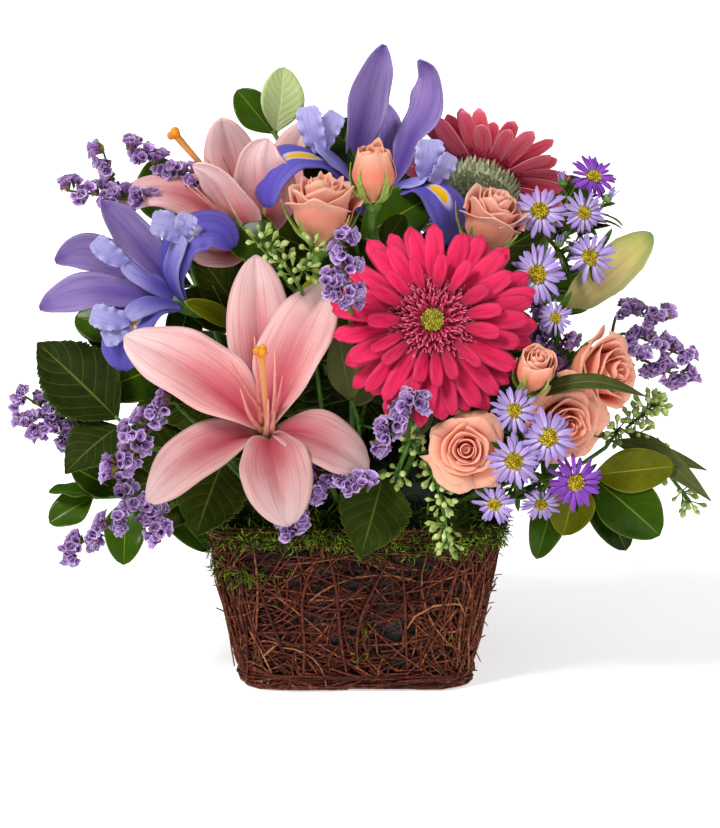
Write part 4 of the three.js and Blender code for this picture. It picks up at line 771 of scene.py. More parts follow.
MOSS_GREENS = [(0.15, "#121803"), (0.42, "#283804"), (0.64, "#4C6A0C"), (0.95, "#8FAE2A")]
grain_finish("moss", MOSS_GREENS, 0.9, 5.0, 0.4, tinted=0.7)
grain_finish("wet_foam", [(0.2, "#101A0C"), (0.5, "#1F3318"), (0.8, "#34502A")], 0.8, 0.8, 0.8, coat=0.2)
grain_finish("liner_film", [(0.3, "#26282B"), (0.6, "#4A4D52"), (0.8, "#6C7076")], 0.38, 7.0, 1.0, coat=0.2)
print(len(FINISHES), "finishes with grain, leaves and petals")

# %% [markdown]
# Three small parts change colour from one end to the other: the lily's style, its orange stigma, and the
# closed bud with its greener ribs. They use the petal recipe.

# %% Pistil and bud
PISTIL_ALONG = [(0.0, "#C9A070"), (0.4, "#DE9A72"), (0.85, "#E09A50"), (1.0, "#DE8E2A")]
petal_finish("lily_style", PISTIL_ALONG, "#E5B26A", 0.2, "#C98A52", 0.3, 6.0)
petal_finish("lily_stigma", [(0.0, "#CC6C1A"), (1.0, "#E89A24")], "#EEB040", 0.3, "#A84E12", 0.3, 6.0)
BUD_ALONG = [(0.0, "#949642"), (0.25, "#C0B068"), (0.6, "#D0BC7A"), (0.9, "#B4AE58"), (1.0, "#74983A")]
petal_finish("lily_bud", BUD_ALONG, "#9FA458", 0.75, "#98907A", 0.6, 22.0, 0.45)
print(len(FINISHES), "finishes")

# %% [markdown]
# ## What stays from the solid model
#
# The plastic liner and the wet foam have the right shapes already and hardly show. They keep their solids
# and only get their real finish: a thin crinkled grey film, and a dark green foam full of water.

# %% Liner and foam
for node, finish in (("liner", "liner_film"), ("foam", "wet_foam")):
    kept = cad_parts[node]
    kept.data.materials.clear()
    kept.data.materials.append(FINISHES[finish])
    print(node, "keeps its solid")

# %% [markdown]
# ## The basket
#
# The basket is a mat of thin vine twigs, pressed over a square form while wet and wired at the rim and foot.
# No twig runs straight: each is a shallow arc at its own slant, and they lie over one another in layers with
# gaps that show the liner. Weaving them by hand would take days, so one twig is modelled, and a rule lays
# well over a thousand of them on the wall. It works on the wall unrolled flat, with the way round as one
# coordinate and the height as the other, and then rolls each twig up. All draws come from a seed.

# %% The wall's shape
BASKET = {"foot": 122.0, "mouth": 156.0, "height": 90.0, "corner": 20.0}
luck = np.random.default_rng(7)


def half_at(z):
    """Half the basket's width at height z."""
    return (BASKET["foot"] + (BASKET["mouth"] - BASKET["foot"]) * z / BASKET["height"]) / 2


def on_wall(share, z, out):
    """Points on the wall: `share` of the way round, at height z, `out` proud of it."""
    share, z, out = np.broadcast_arrays(share, z, out)
    half, corner = half_at(z), BASKET["corner"]
    straight, bend = 2 * (half - corner), corner * np.pi / 2
    quarter = (share % 1.0) * 4
    side = np.floor(quarter)
    run = (quarter - side) * (straight + bend)
    turn = np.clip((run - straight) / corner, 0, np.pi / 2)
    x = np.where(run < straight, run - straight / 2, straight / 2 + (corner + out) * np.sin(turn))
    y = np.where(run < straight, -half - out, -(half - corner) - (corner + out) * np.cos(turn))
    c, s = np.cos(side * np.pi / 2), np.sin(side * np.pi / 2)
    return np.stack([c * x - s * y, s * x + c * y, z], -1)


print("half the basket is", half_at(0), "mm at its foot and", half_at(BASKET["height"]), "mm at its mouth")


# %% Twigs
TWIG_SIDES, TWIG_RINGS = 4, 6
AROUND = 520.0
taper = lambda t: 0.55 + 0.45 * np.sin(np.pi * (0.12 + 0.8 * t)) ** 0.7


def twig(share, z, slant, bend, length, out, radius, tint, low=1.4, high=89.0):
    """One twig: an arc on the unrolled wall, kept between the foot and the rim."""
    steps = np.linspace(0, 1, TWIG_RINGS + 1)
    way = slant + bend * (steps - 0.5) * length
    run = np.concatenate([[0], np.cumsum(np.cos(way[:-1]))]) * length / TWIG_RINGS
    rise = z + np.concatenate([[0], np.cumsum(np.sin(way[:-1]))]) * length / TWIG_RINGS
    heights = np.clip(rise, low + 2 * luck.random(), high - 2 * luck.random())
    weave = out + 0.7 * np.sin(steps * 7 + 6 * luck.random())
    points = on_wall(share + run / AROUND, heights, weave)
    return tube(points, radius, TWIG_SIDES, TWIG_RINGS, taper, tint)


print("one twig has", TWIG_SIDES * (TWIG_RINGS + 1), "points")

# %% Three kinds of twig on the wall
TWIG_COUNT, BAND_TWIGS, CORNER_TWIGS = 1660, 480, 90
SPARSE = {"low": 44.0, "high": 72.0, "left_out": 0.42}
BANDS = [
    {"from": 83, "to": 90.6, "deepest": -5.5}, {"from": 0.9, "to": 7, "deepest": -3.5},
    {"from": 0.9, "to": 7, "deepest": -16.0},
]
twigs = []
for i in range(TWIG_COUNT):
    slant = luck.choice([0.0, 0.0, 0.5, -0.5, 1.4]) + luck.normal(0, 0.35)
    layer = i / TWIG_COUNT
    # Twigs deeper in the wall are painted darker, as shade between the layers, and outer ones lighter. The
    # rest of the tint varies at random.
    tint = np.clip(luck.normal(0.28 + 0.3 * layer, 0.17), 0, 1)
    size = luck.uniform(0.4, 0.72)
    height = luck.uniform(2, 88)
    if SPARSE["low"] < height < SPARSE["high"] and luck.random() < SPARSE["left_out"]:
        continue
    place = (luck.random(), height, slant, luck.normal(0, 0.03), luck.uniform(35, 95))
    twigs.append(twig(*place, -3.0 + 3.4 * layer, size, tint))
for i in range(BAND_TWIGS):
    band = BANDS[i % 3]
    tint = np.clip(luck.normal(0.42, 0.18), 0, 1)
    way = (luck.normal(0, 0.16), luck.normal(0, 0.008), luck.uniform(35, 90))
    place = (luck.random(), luck.uniform(band["from"], band["to"]), *way)
    out = luck.uniform(band["deepest"], 1.3)
    twigs.append(twig(*place, out, 0.6, tint, band["from"], band["to"] + 2))
for i in range(CORNER_TWIGS):
    share = (i % 4 + 0.86 + luck.normal(0, 0.045)) / 4
    height = luck.uniform(2, 30)
    upright = 1.57 + luck.normal(0, 0.16)
    place = (share, height, upright, luck.normal(0, 0.008), luck.uniform(40, 80))
    twigs.append(twig(*place, luck.uniform(-1.5, 1.2), 0.62, luck.uniform(0.35, 0.8)))
print(len(twigs), "twigs on the wall")

# %% [markdown]
# Some vines are thicker than the rest. The solid carries six of them on each flat side, as low ridges, and
# neighbours slant opposite ways. The same rule and the same draws put a real vine over each ridge.
# The solid's draws come from a small rule that gives the same numbers in any program.

# %% Thick vines
VINES = {"radius": 0.78, "proud": 0.35, "per_side": 6, "seed": 7, "span": 1.06}
VINE_PATH = [(-1.0, -1.5), (-0.7, 0.2), (-0.3, 0.5), (0.0, 0.6), (0.35, 0.5), (0.7, 0.2), (1.0, -1.5)]


def draws(seed):
    """The solid's own small numbers, which look random and are the same on every run."""
    while True:
        seed = (seed * 1664525 + 1013904223) % 4294967296
        yield seed / 4294967296


def on_flat(side, share, z, out):
    """A point on one flat side, `share` of the way from its middle to its edge."""
    half = half_at(z)
    x, y = share * (half - BASKET["corner"]), -half - out
    c, s = math.cos(side * math.pi / 2), math.sin(side * math.pi / 2)
    return np.array([c * x - s * y, s * x + c * y, z])


solid_draws = draws(VINES["seed"])
for side in range(4):
    for k in range(VINES["per_side"]):
        share = VINES["span"] * ((2 * k + 1) / VINES["per_side"] - 1)
        lean = (1 if (k + side) % 2 else -1) * (0.45 + 0.45 * next(solid_draws)) / VINES["per_side"]
        low = 7 + 14 * next(solid_draws)
        high = 82 - 14 * next(solid_draws)
        bow = luck.normal(0, 0.05)
        sway = luck.normal(0, 0.035)
        points = []
        for t, out in VINE_PATH:
            z = (low + high) / 2 + (high - low) / 2 * t * 1.08
            aside = share + lean * t + bow * (1 - t * t) + sway * math.sin(3 * t)
            points.append(on_flat(side, aside, z, VINES["proud"] + out))
        twigs.append(tube(points, VINES["radius"], 6, 18, taper, luck.uniform(0.2, 0.5)))
print(4 * VINES["per_side"], "thick vines")

# %% [markdown]
# A few twig ends have sprung loose, mostly on the right side. Others cross under the floor, where they only
# show when the basket is lifted.

# %% Loose ends and the floor
LOOSE_ENDS, FLOOR_TWIGS, CLEAR_OF_TABLE = 46, 150, 1.5
for _ in range(LOOSE_ENDS):
    share = luck.choice([0.3, 0.36, 0.22, 0.9, 0.6]) + luck.normal(0, 0.05)
    z = luck.uniform(6, 84)
    start = on_wall(share, z, -1.0)
    outwards = unit(on_wall(share, z, 5.0) - start)
    along = unit(on_wall(share + 0.01, z + luck.normal(0, 4), -1.0) - start)
    reach = luck.uniform(5, 9)
    end = start + outwards * reach * 0.75 + along * luck.uniform(6, 16) + (0, 0, luck.normal(0, 4))
    root = start - along * 8
    end[2], root[2] = max(end[2], CLEAR_OF_TABLE), max(root[2], CLEAR_OF_TABLE)
    twigs.append(tube([root, start, end], 0.45, 4, 5, taper, luck.uniform(0.3, 0.9)))
for _ in range(FLOOR_TWIGS):
    angle = luck.random() * np.pi
    way = np.array([math.cos(angle), math.sin(angle), 0.0])
    middle = np.array([luck.uniform(-40, 40), luck.uniform(-40, 40), luck.uniform(0.9, 3.2)])
    reach = 57 - np.abs(middle[:2]).max()
    bow = np.cross(way, (0, 0, 1)) * luck.normal(0, 4)
    path = [middle - way * reach, middle + bow, middle + way * reach]
    twigs.append(tube(path, 0.7, 4, 6, taper, luck.random()))
basket = finished("basket", "", twigs, "twig_bark")
print("basket faces", len(basket.data.polygons))

# %% [markdown]
# ## Moss
#
# Florists tuck living sheet moss between the liner and the stems and let it spill over the rim. It is a mat
# of curled green threads. A lumpy roll gives it body, and some thousands of narrow curled blades stand out
# of it, brighter where they catch light. Some spill over the rim in patches, and a few scraps hang in the
# twigs below it.

# %% Moss roll
MOSS = {"inner": 51.0, "outer": 70.0, "bottom": 80.0, "top": 96.0}


def in_ring(share, across):
    """A point on the moss roll: round it by `share`, and over it from outside to inside by `across`."""
    half = MOSS["outer"] + 3 - (MOSS["outer"] + 3 - MOSS["inner"]) * across
    height = MOSS["bottom"] + (MOSS["top"] - MOSS["bottom"]) * np.sin(np.pi * (0.08 + 0.66 * across))
    lumps = 1.8 * np.sin(share * 90 + across * 5) + 1.3 * np.sin(share * 211 + across * 9)
    return on_wall(share, height + lumps, half - half_at(height + lumps) + lumps * 0.5)


roll = sheet_blank(180, 8)
roll_points = in_ring(roll.uv[:, 0] * 0.9999, roll.uv[:, 1])
moss_shapes = [shaded(roll._replace(points=roll_points), 0.2)]
print("the moss roll has", len(roll_points), "points")

# %% Moss threads
THREAD = {"length": 8.5, "width": 0.85, "open": 8, "tip": 0.05}
curled = [blade(np.eye(4), {**THREAD, "close": end}, 4, 1) for end in (60, 110, 160)]


def threads(places, ways, sizes, tints):
    """Curled threads at the places, each thrown a little off its way."""
    made = []
    for kind, thread in enumerate(curled):
        mine = range(kind, len(places), len(curled))
        spots = []
        for i in mine:
            thrown = ways[i] + luck.normal(0, 0.55, 3)
            spots.append(standing(places[i], thrown, luck.random() * 6.28, sizes[i]))
        made.append(scattered(thread, spots, [tints[i] for i in mine]))
    return made


ROLL_THREADS, TOP_THREADS, RIM_THREADS, SPILL_THREADS, SCRAPS = 6400, 2600, 3000, 210, 34
shares = luck.random(ROLL_THREADS)
spots = in_ring(shares, luck.random(ROLL_THREADS) ** 1.3)
ways = spots * (1, 1, 0.1) / 90.0 + (0, 0, 0.25)
patches = 0.5 + 0.5 * np.sin(shares * 37) * np.sin(shares * 13 + 1)
sizes = luck.uniform(0.5, 1.25, ROLL_THREADS)
moss_shapes += threads(spots, ways, sizes, np.clip(luck.normal(0.2 + 0.45 * patches, 0.18), 0, 1))
tops = np.stack([luck.uniform(-54, 54, TOP_THREADS), luck.uniform(-54, 54, TOP_THREADS)], 1)
foam_height = np.where(np.abs(tops).max(1) > 46, 96.0 + 24 * luck.random(TOP_THREADS), 120.0)
spots = np.column_stack([tops, foam_height])
ways = np.column_stack([tops / 60, np.full(TOP_THREADS, 0.6)])
sizes = luck.uniform(0.6, 1.2, TOP_THREADS)
moss_shapes += threads(spots, ways, sizes, np.clip(luck.normal(0.2, 0.15, TOP_THREADS), 0, 1))
print(ROLL_THREADS + TOP_THREADS, "threads on the roll and on the foam")

# %% Moss that spills over the rim and hangs in the twigs
SPILLS = [
    (0.985, 64, 12), (0.94, 78, 16), (0.02, 84, 10), (0.115, 80, 14), (0.175, 82, 15), (0.22, 84, 10),
    (0.86, 84, 16), (0.07, 85, 8), (0.33, 82, 16), (0.45, 84, 14), (0.55, 82, 18), (0.68, 80, 16),
    (0.78, 84, 14),
]


def off_wall(share, z):
    """The way straight out of the wall."""
    return unit(on_wall(share, z, 5.0) - on_wall(share, z, 0.0))


spill_spots, spill_ways = [], []
for share, height, spread in SPILLS:
    for _ in range(SPILL_THREADS):
        a = share + luck.normal(0, spread / AROUND)
        z = min(95, height + luck.normal(3, spread * 0.3))
        spill_spots.append(on_wall(a, z, luck.uniform(-1, 2.2)))
        spill_ways.append(off_wall(a, z) + (0, 0, -0.9))
for _ in range(SCRAPS):
    share = luck.random()
    height = luck.uniform(8, 70)
    for _ in range(luck.integers(5, 16)):
        a = share + luck.normal(0, 2.2 / AROUND)
        z = height + luck.normal(0, 3)
        spill_spots.append(on_wall(a, max(z, 3), luck.uniform(-0.5, 1.2)))
        spill_ways.append(off_wall(a, z) * 0.4 + luck.normal(0, 0.6, 3))
for _ in range(RIM_THREADS):
    a = luck.random()
    thick = 0.5 + 0.5 * math.sin(a * 41 + 2) * math.sin(a * 17)
    if luck.random() < 0.25 + 0.75 * thick:
        z = luck.uniform(85, 93)
        spill_spots.append(on_wall(a, z, luck.uniform(-4, 1.0)))
        spill_ways.append(off_wall(a, z) + (0, 0, 0.2))
count = len(spill_spots)
sizes, tints = luck.uniform(0.4, 0.85, count), luck.uniform(0.25, 0.95, count)
moss_shapes += threads(spill_spots, spill_ways, sizes, tints)
moss = finished("moss", "", moss_shapes, "moss")
print("moss faces", len(moss.data.polygons))

# %% [markdown]
# ## Lilies
#
# An oriental lily has six tepals in two whorls of three. Those of the inner whorl are broad and ripple at the
# edge, and those of the outer one are narrower. All are folded along a deep keel groove, and their edges roll
# back near the tip. In the throat stand a long style with a three-lobed stigma, and six pink filaments whose
# anthers the florist has pulled off, so the pollen doesn't stain.
# The front lily faces the viewer, so its tepals are blades that leave one axis. The back lily turns away and
# its tepals bend sideways too, so each follows its own spine.

# %% Front lily
FRONT_LILY = {"at": (-44, -84, 143), "faces": (-0.1, -0.68, 0.73), "side": (1, 0, 0)}
# The last column, the tint, paints light and shade on each tepal. The upper three are painted lighter, most
# of all the upper left one, as if lit from there. The lower three are much darker, as painted shade.
TEPAL_ROWS = [
    ("azimuth", "width", "length", "open", "close", "tint"),
    (61, 39, 85.5, 27, 92, 0.6), (92, 37, 92, 40, 84, 0.45), (154, 43, 89, 27, 86, 0.75),
    (210, 35, 75, 42, 136, 0.05), (281, 39, 60, 40, 137, 0.0), (335, 34, 60, 40, 140, 0.06),
]
TEPALS = [dict(zip(TEPAL_ROWS[0], row)) for row in TEPAL_ROWS[1:]]
BROAD = {"cup": 0.1, "vee": 0.42, "vee_end": 0.04, "roll": 0.26, "ripple": 1.8, "waves": 2.6}
KEELED = {"cup": -0.04, "vee": 0.5, "vee_end": 0.1, "roll": 0.2, "ripple": 1.0, "waves": 2.2}
TEPAL = {"late": 0.85, "start": 5, "blunt": 0.6, "root": 0.05, "tip": 0.03, "groove": 1.5, "peak": 0.52}
tepals = []
for i, tepal in enumerate(TEPALS):
    spec = {**TEPAL, **(KEELED if i % 2 else BROAD), **tepal, "phase": 1.3 * i}
    tepals.append(blade(petal_frame(FRONT_LILY, tepal["azimuth"]), spec, 30, 18, tepal["tint"]))
finished("front_lily_petals", "", tepals, "lily_petal", 0.8)
print(len(tepals), "tepals in front")

# %% Back lily
BACK_LILY = {"at": (-49, -22, 236), "faces": (-0.66, -0.3, 0.69), "side": (0.75, -0.1, 0.66)}
AWAY, OUT_LEFT = (0.4, 0.85, 0.4), (-0.25, -0.7, 0.7)
BACK_TEPALS = {
    "near left": (
        [(-51, -24, 233), (-60, -42, 250), (-67, -48, 264), (-75, -52, 274), (-83, -52, 278)],
        [AWAY, (0.5, 0.8, 0.5)], 27,
    ),
    "near right": (
        [(-49, -22, 233), (-47, -38, 250), (-47, -44, 268), (-48, -47, 281), (-45, -46, 291)],
        [(0, 1, 0.2)], 36,
    ),
    "far left": (
        [(-51, -14, 235), (-60, -8, 257), (-66, -6, 278), (-70, -10, 298)],
        [(0.2, -1, 0.2), (-0.2, -1, 0.3)], 33,
    ),
    "far right": (
        [(-46, -12, 234), (-39, -3, 256), (-33, 0, 277), (-26, 0, 295)],
        [(-0.3, -1, 0.1), (-0.2, -1, 0.4)], 29,
    ),
    "left": (
        [(-54, -20, 235), (-72, -28, 250), (-92, -34, 261), (-110, -39, 262), (-123, -46, 253)],
        [OUT_LEFT], 27,
    ),
    "low": ([(-53, -26, 234), (-63, -33, 231), (-75, -38, 232), (-88, -41, 238)], [(-0.3, -0.85, 0.5)], 21),
}
BACK_TEPAL = {**TEPAL, "groove": 1.4, "cup": 0.06, "vee": 0.34, "vee_end": 0.05, "roll": 0.3, "waves": 2.3}
tepals, midribs = [], []
for i, (spine, faces, width) in enumerate(BACK_TEPALS.values()):
    spec = {**BACK_TEPAL, "width": width, "ripple": 1.5, "phase": 2.1 * i}
    tepals.append(ribbon(spine, faces, spec, 28, 16, 0.62 - 0.06 * (i % 3)))
finished("back_lily_petals", "", tepals, "lily_petal", 0.8)
for spine, faces, _ in (BACK_TEPALS["near left"], BACK_TEPALS["near right"]):
    raised = [np.array(point) - unit(faces[0]) * 1.1 for point in spine[:-1]]
    midribs.append(tube(raised, 1.3, 6, 14, lambda t: 1.15 - 0.85 * t, 0.6))
finished("back_lily_petals", "midribs", midribs, "pale_keel")
print(len(tepals), "tepals behind")


# %% Lily throats: style, stigma, filaments and stem
def local(bloom, radius, height, turn):
    """A point of a bloom, `radius` off its axis and `height` along it."""
    place = petal_frame(bloom, turn)
    return (place @ np.array([radius, 0, height, 1.0]))[:3]


THROATS = {
    "front_lily": {
        "bloom": FRONT_LILY,
        "style": [(-45, -102, 166), (-46.4, -120, 194)],
        "filaments": [
            (-62, -112, 188), (-36, -112, 180), (-50, -108, 199),
            (-57, -114, 174), (-43, -116, 169), (-40, -106, 191),
        ],
    },
    "back_lily": {
        "bloom": BACK_LILY,
        "style": [(-72, -40, 268), (-92, -52, 294)],
        "filaments": [
            (-77, -44, 281), (-84, -40, 272), (-70, -36, 284),
            (-82, -48, 266), (-88, -44, 268), (-74, -30, 272),
        ],
    },
}
for name, throat in THROATS.items():
    bloom = throat["bloom"]
    middle, tip = (np.array(point, float) for point in throat["style"])
    along = unit(tip - middle)
    style = tube([behind(bloom, -6), middle, tip], 1.7, 10, 16, lambda t: 0.8 + 0.4 * t**5)
    finished(name + "_pistil", "style", [style], "lily_style")
    lobes = [scattered(ball_blank(2), [standing(tip, along, 0, 2.6)], [0.35])]
    for k in range(3):
        lobe = standing(tip, along, 2.1 * k + 0.4)
        centre = tip + lobe[:3, 0] * 1.8 + along * 0.5
        lobes.append(scattered(ball_blank(2), [standing(centre, along, 0, 2.3)], [0.4 + 0.2 * k]))
    finished(name + "_pistil", "stigma", lobes, "lily_stigma")
    filaments = []
    for k, end in enumerate(throat["filaments"]):
        root = local(bloom, 3.4, 7, 20 + 60 * k)
        bend = (root + np.array(end)) / 2 + (root + np.array(end) - middle - tip) * 0.06
        filaments.append(tube([root, bend, end], 1.6, 8, 12, lambda t: 1.0 - 0.8 * t, 0.3 + 0.1 * k))
    finished(name + "_pistil", "filaments", filaments, "lily_filament")
    stem = rooted([behind(bloom, 22), behind(bloom, 2.4)], 3.0, 10)
    seat = scattered(ball_blank(2), [standing(behind(bloom, -3), bloom["faces"], 0, 5.5)], [0.7])
    narrow = []
    start = foam_end(behind(bloom, 22))
    for k in range(7):
        base = start + (behind(bloom, 8) - start) * (0.42 + 0.08 * k)
        out = np.array([math.cos(2.4 * k), math.sin(2.4 * k), 0.6])
        leaf_end = base + unit(out) * (34 + 3 * (k % 3))
        narrow.append(leaf_blade(base, leaf_end, (0.1, -0.4, 0.9), 10, None, 10, 4, 0.2))
    finished(name + "_stem", "", [stem, seat], "green_stem")
    finished(name + "_stem", "leaves", narrow, "waxy_leaf", 0.5)
print("styles, stigmas and filaments")

# %% [markdown]
# The closed bud shows how the flower is folded: three outer tepals meet at grooves, each with a raised keel.

# %% Lily bud
BUD = {"fork": (102, -34, 189), "base": (110, -44, 202), "tip": (152, -55, 243)}
BUD_PROFILE = [
    (0.0, 3.6), (0.06, 5.2), (0.2, 8.2), (0.5, 10.8), (0.75, 9.6), (0.9, 6.4), (0.97, 3.8), (1.0, 1.6),
]
bud = rod_blank(48, 28)
turn, along = np.arctan2(bud.points[:, 1], bud.points[:, 0]), bud.points[:, 2]
keels = 0.93 + 0.16 * np.abs(np.cos(1.5 * turn)) ** 0.6 + 0.03 * np.cos(12 * turn)
swell = np.interp(along, *zip(*BUD_PROFILE)) * keels
bud_way = np.subtract(BUD["tip"], BUD["base"])
bud_length = np.linalg.norm(bud_way)
bud_points = np.column_stack([bud.points[:, :2] * swell[:, None], along * bud_length])
bud_growth = np.column_stack([bud.uv[:, 0], 0.5 + 0.5 * np.abs(np.cos(1.5 * turn))])
bud = moved(bud._replace(points=bud_points, uv=bud_growth), standing(BUD["base"], bud_way, 0.5))
finished("lily_bud", "", [bud], "lily_bud")
finished("lily_bud", "stem", [rooted([BUD["fork"], BUD["base"]], 2.4)], "green_stem")
print("bud", round(bud_length), "mm long")

# %% [markdown]
# ## Irises
#
# A Dutch iris has three upright standards, three falls that arch out on a narrow claw and then droop, and
# over each fall a style arm that ends in two frilled crests. Each kind has its own violet.
# Their petals twist and lean as they like, so every one is a ribbon along its own spine, with the way its
# upper side faces at the root and at the tip.

# %% Iris petals
LEFT_FRONT, RIGHT_FRONT, FRONT, UP = (0.45, -0.9, 0.1), (-0.7, -0.7, 0), (0, -1, 0.1), (0, -0.4, 0.9)
LEAN_LEFT, LEAN_RIGHT, BACK = (-0.8, -0.6, 0.2), (0.75, -0.65, 0.15), (0.1, 1, 0.4)
IRISES = {
    "top_iris": {
        "bloom": {"at": (17, -12, 255), "faces": (0.02, -0.16, 1), "side": (-1, -0.1, 0)},
        "light": 0.6,
        "standards": [
            ([(2, -12, 260), (1, -15, 282), (4, -18, 299), (7, -20, 314), (11, -21, 326), (15, -21, 337)],
             [LEFT_FRONT], 23),
            ([(20, -10, 262), (26, -13, 277), (31, -14, 290), (38, -15, 302), (41, -16, 313),
              (39, -17, 323), (33, -19, 329)], [RIGHT_FRONT], 22),
            ([(14, -4, 260), (13, 1, 277), (14, 4, 292), (13, 5, 306)], [FRONT], 21),
        ],
        "falls": [
            ([(4, -13, 260), (-6, -20, 271), (-16, -27, 278), (-26, -34, 281), (-35, -41, 281),
              (-42, -47, 275), (-46, -50, 266), (-45, -50, 256)], [UP, (-0.4, -0.6, 0.7), LEAN_LEFT], 28),
            ([(20, -13, 260), (30, -22, 264), (38, -30, 265), (45, -36, 261), (49, -39, 253),
              (50, -40, 244), (48, -38, 235)], [UP, (0.4, -0.6, 0.7), LEAN_RIGHT], 27),
            ([(14, -4, 258), (14, 12, 270), (12, 27, 272), (10, 40, 264), (8, 46, 250), (9, 46, 238)],
             [(0, 0.2, 1), (0, 0.6, 0.8), BACK], 28),
        ],
        "arms": [
            ([(3, -13, 262), (-5, -21, 274), (-14, -27, 282), (-21, -32, 287)], [(-0.2, -0.5, 0.85)], 16),
            ([(20, -13, 262), (29, -22, 267), (38, -30, 269)], [(0.2, -0.5, 0.85)], 15),
            ([(9, -10, 261), (7, -10, 278), (9, -9, 296), (14, -8, 308)], [(-0.2, -1, 0.1)], 11),
        ],
        "crests": [
            ([(-18, -29, 282), (-22, -31, 293), (-25, -31, 306)], [(-0.3, -1, 0)], 15),
            ([(-17, -28, 282), (-15, -28, 292), (-9, -26, 302)], [(0.3, -1, 0.1)], 13),
            ([(37, -28, 267), (38, -30, 277), (39, -31, 289)], [(0.3, -1, 0)], 17),
            ([(40, -29, 266), (46, -31, 274), (50, -30, 281)], [(0.5, -0.9, 0)], 12),
            ([(12, 26, 274), (8, 27, 286), (4, 27, 296)], [(0, 1, 0.1)], 15),
            ([(13, 26, 274), (17, 27, 285), (22, 27, 293)], [(0, 1, 0.1)], 14),
        ],
    },
    "left_iris": {
        "bloom": {"at": (-91, -44, 205), "faces": (-0.78, -0.42, 0.42), "side": (0.42, -0.1, 0.9)},
        "light": 0.12,
        "standards": [
            ([(-90, -44, 206), (-101, -47, 224), (-113, -49, 239), (-122, -50, 250), (-130, -50, 259)],
             [(0.3, -0.9, 0.3)], 20),
            ([(-94, -41, 208), (-117, -39, 223), (-133, -38, 229), (-145, -37, 230), (-156, -38, 226)],
             [(0, -0.9, 0.45)], 21),
            ([(-92, -46, 206), (-111, -53, 211), (-131, -55, 213), (-149, -55, 210), (-163, -53, 204)],
             [(0, -0.85, 0.5)], 20),
        ],
        "falls": [
            ([(-90, -46, 206), (-95, -51, 220), (-92, -54, 234), (-85, -55, 243), (-76, -55, 246),
              (-68, -56, 244), (-63, -57, 236)], [(-0.6, -0.7, 0.3), (-0.2, -0.7, 0.7), (0.5, -0.7, 0.5)],
             25),
            ([(-91, -47, 205), (-102, -56, 207), (-111, -62, 203), (-117, -65, 195), (-120, -67, 185),
              (-120, -66, 174)], [(0, -0.5, 0.85), (-0.3, -0.7, 0.6), (-0.4, -0.9, 0.1)], 26),
            ([(-92, -42, 206), (-108, -28, 212), (-122, -16, 210), (-131, -8, 200), (-134, -5, 188)],
             [(0, 0.3, 0.9), (-0.3, 0.6, 0.7), (-0.6, 0.7, 0.2)], 25),
        ],
        "arms": [
            ([(-91, -47, 207), (-96, -54, 221), (-93, -57, 235), (-88, -59, 243)], [(-0.7, -0.7, 0.2)], 13),
            ([(-91, -48, 206), (-102, -57, 209), (-111, -64, 207), (-117, -67, 202)], [(-0.1, -0.6, 0.8)],
             14),
            ([(-92, -46, 208), (-105, -54, 219), (-119, -58, 229)], [(0.1, -0.8, 0.6)], 12),
        ],
        "crests": [
            ([(-88, -58, 240), (-95, -60, 248), (-104, -61, 250)], [(0, -1, 0.2)], 15),
            ([(-88, -57, 240), (-87, -59, 248), (-84, -60, 254)], [(0.2, -1, 0.2)], 12),
            ([(-115, -66, 200), (-125, -68, 201), (-135, -68, 204)], [(-0.2, -0.9, 0.5)], 14),
            ([(-116, -66, 199), (-122, -69, 194), (-129, -70, 191)], [(-0.3, -0.9, 0.2)], 12),
            ([(-117, -58, 228), (-126, -60, 234), (-133, -60, 241)], [(0, -1, 0.3)], 12),
        ],
    },
}
frayed = lambda t: -0.14 * ((t * 9) % 1.0) * (t > 0.4)
sheath_swell = lambda t: 0.65 + 0.35 * np.sin(3 * t)
IRIS_PARTS = {
    "standards": {
        "cup": 0.34, "root": 0.16, "tip": 0.12, "peak": 0.68, "blunt": 0.78, "groove": 0.9, "ripple": 2.0,
        "waves": 2.4,
    },
    "falls": {
        "cup": -0.1, "root": 0.3, "tip": 0.24, "peak": 0.7, "blunt": 0.5, "groove": 0.9, "ripple": 1.3,
        "waves": 2.2,
    },
    "arms": {
        "cup": -0.3, "root": 0.5, "tip": 0.5, "peak": 0.7, "blunt": 0.6, "groove": -0.6, "ripple": 0.4,
        "waves": 2.0,
    },
    "crests": {
        "cup": 0.1, "root": 0.42, "tip": 0.55, "peak": 0.66, "blunt": 0.35, "ripple": 1.6, "waves": 3.4,
        "teeth": frayed,
    },
}
IRIS_FINISHES = {
    "standards": "iris_standard", "falls": "iris_fall", "arms": "iris_style", "crests": "iris_crest",
}
for name, iris in IRISES.items():
    bloom = iris["bloom"]
    for part, shape in IRIS_PARTS.items():
        petals = []
        for k, (spine, faces, width) in enumerate(iris[part]):
            spec = {**shape, "width": width, "phase": 2.0 * k}
            petals.append(ribbon(spine, faces, spec, 24, 14, iris["light"] + 0.1 * (k % 3)))
        finished(name + "_petals", part, petals, IRIS_FINISHES[part], 0.5)
    neck = tube([behind(bloom, 14), behind(bloom, 2), behind(bloom, -6)], 4.6, 10, 8, sheath_swell)
    sheath = []
    for k in (-1, 1):
        sheath_tip = behind(bloom, -4) + np.array([4 * k, -3, 0])
        sheath.append(leaf_blade(behind(bloom, 34), sheath_tip, (k, -1, 0.2), 11, {"cup": 0.7}))
    stem = rooted([behind(bloom, 34), behind(bloom, 6.6)], 3.0)
    finished(name + "_stem", "", [stem, neck], "green_stem")
    finished(name + "_stem", "sheath", sheath, "olive_leaf", 0.5)
print("irises", list(IRISES))

# %% [markdown]
# ## Gerberas
#
# A gerbera's head is hundreds of flowers on one plate. The strap-shaped rays lie in rings, longest outside.
# Inside them stand dark red florets with fine curled tips, set in the spirals that any sunflower shows, and
# an olive button of closed ones. Each floret turns the golden angle past the last.
# The head behind turns its back, so its grey-green cup of bracts and the dull undersides of its rays show.

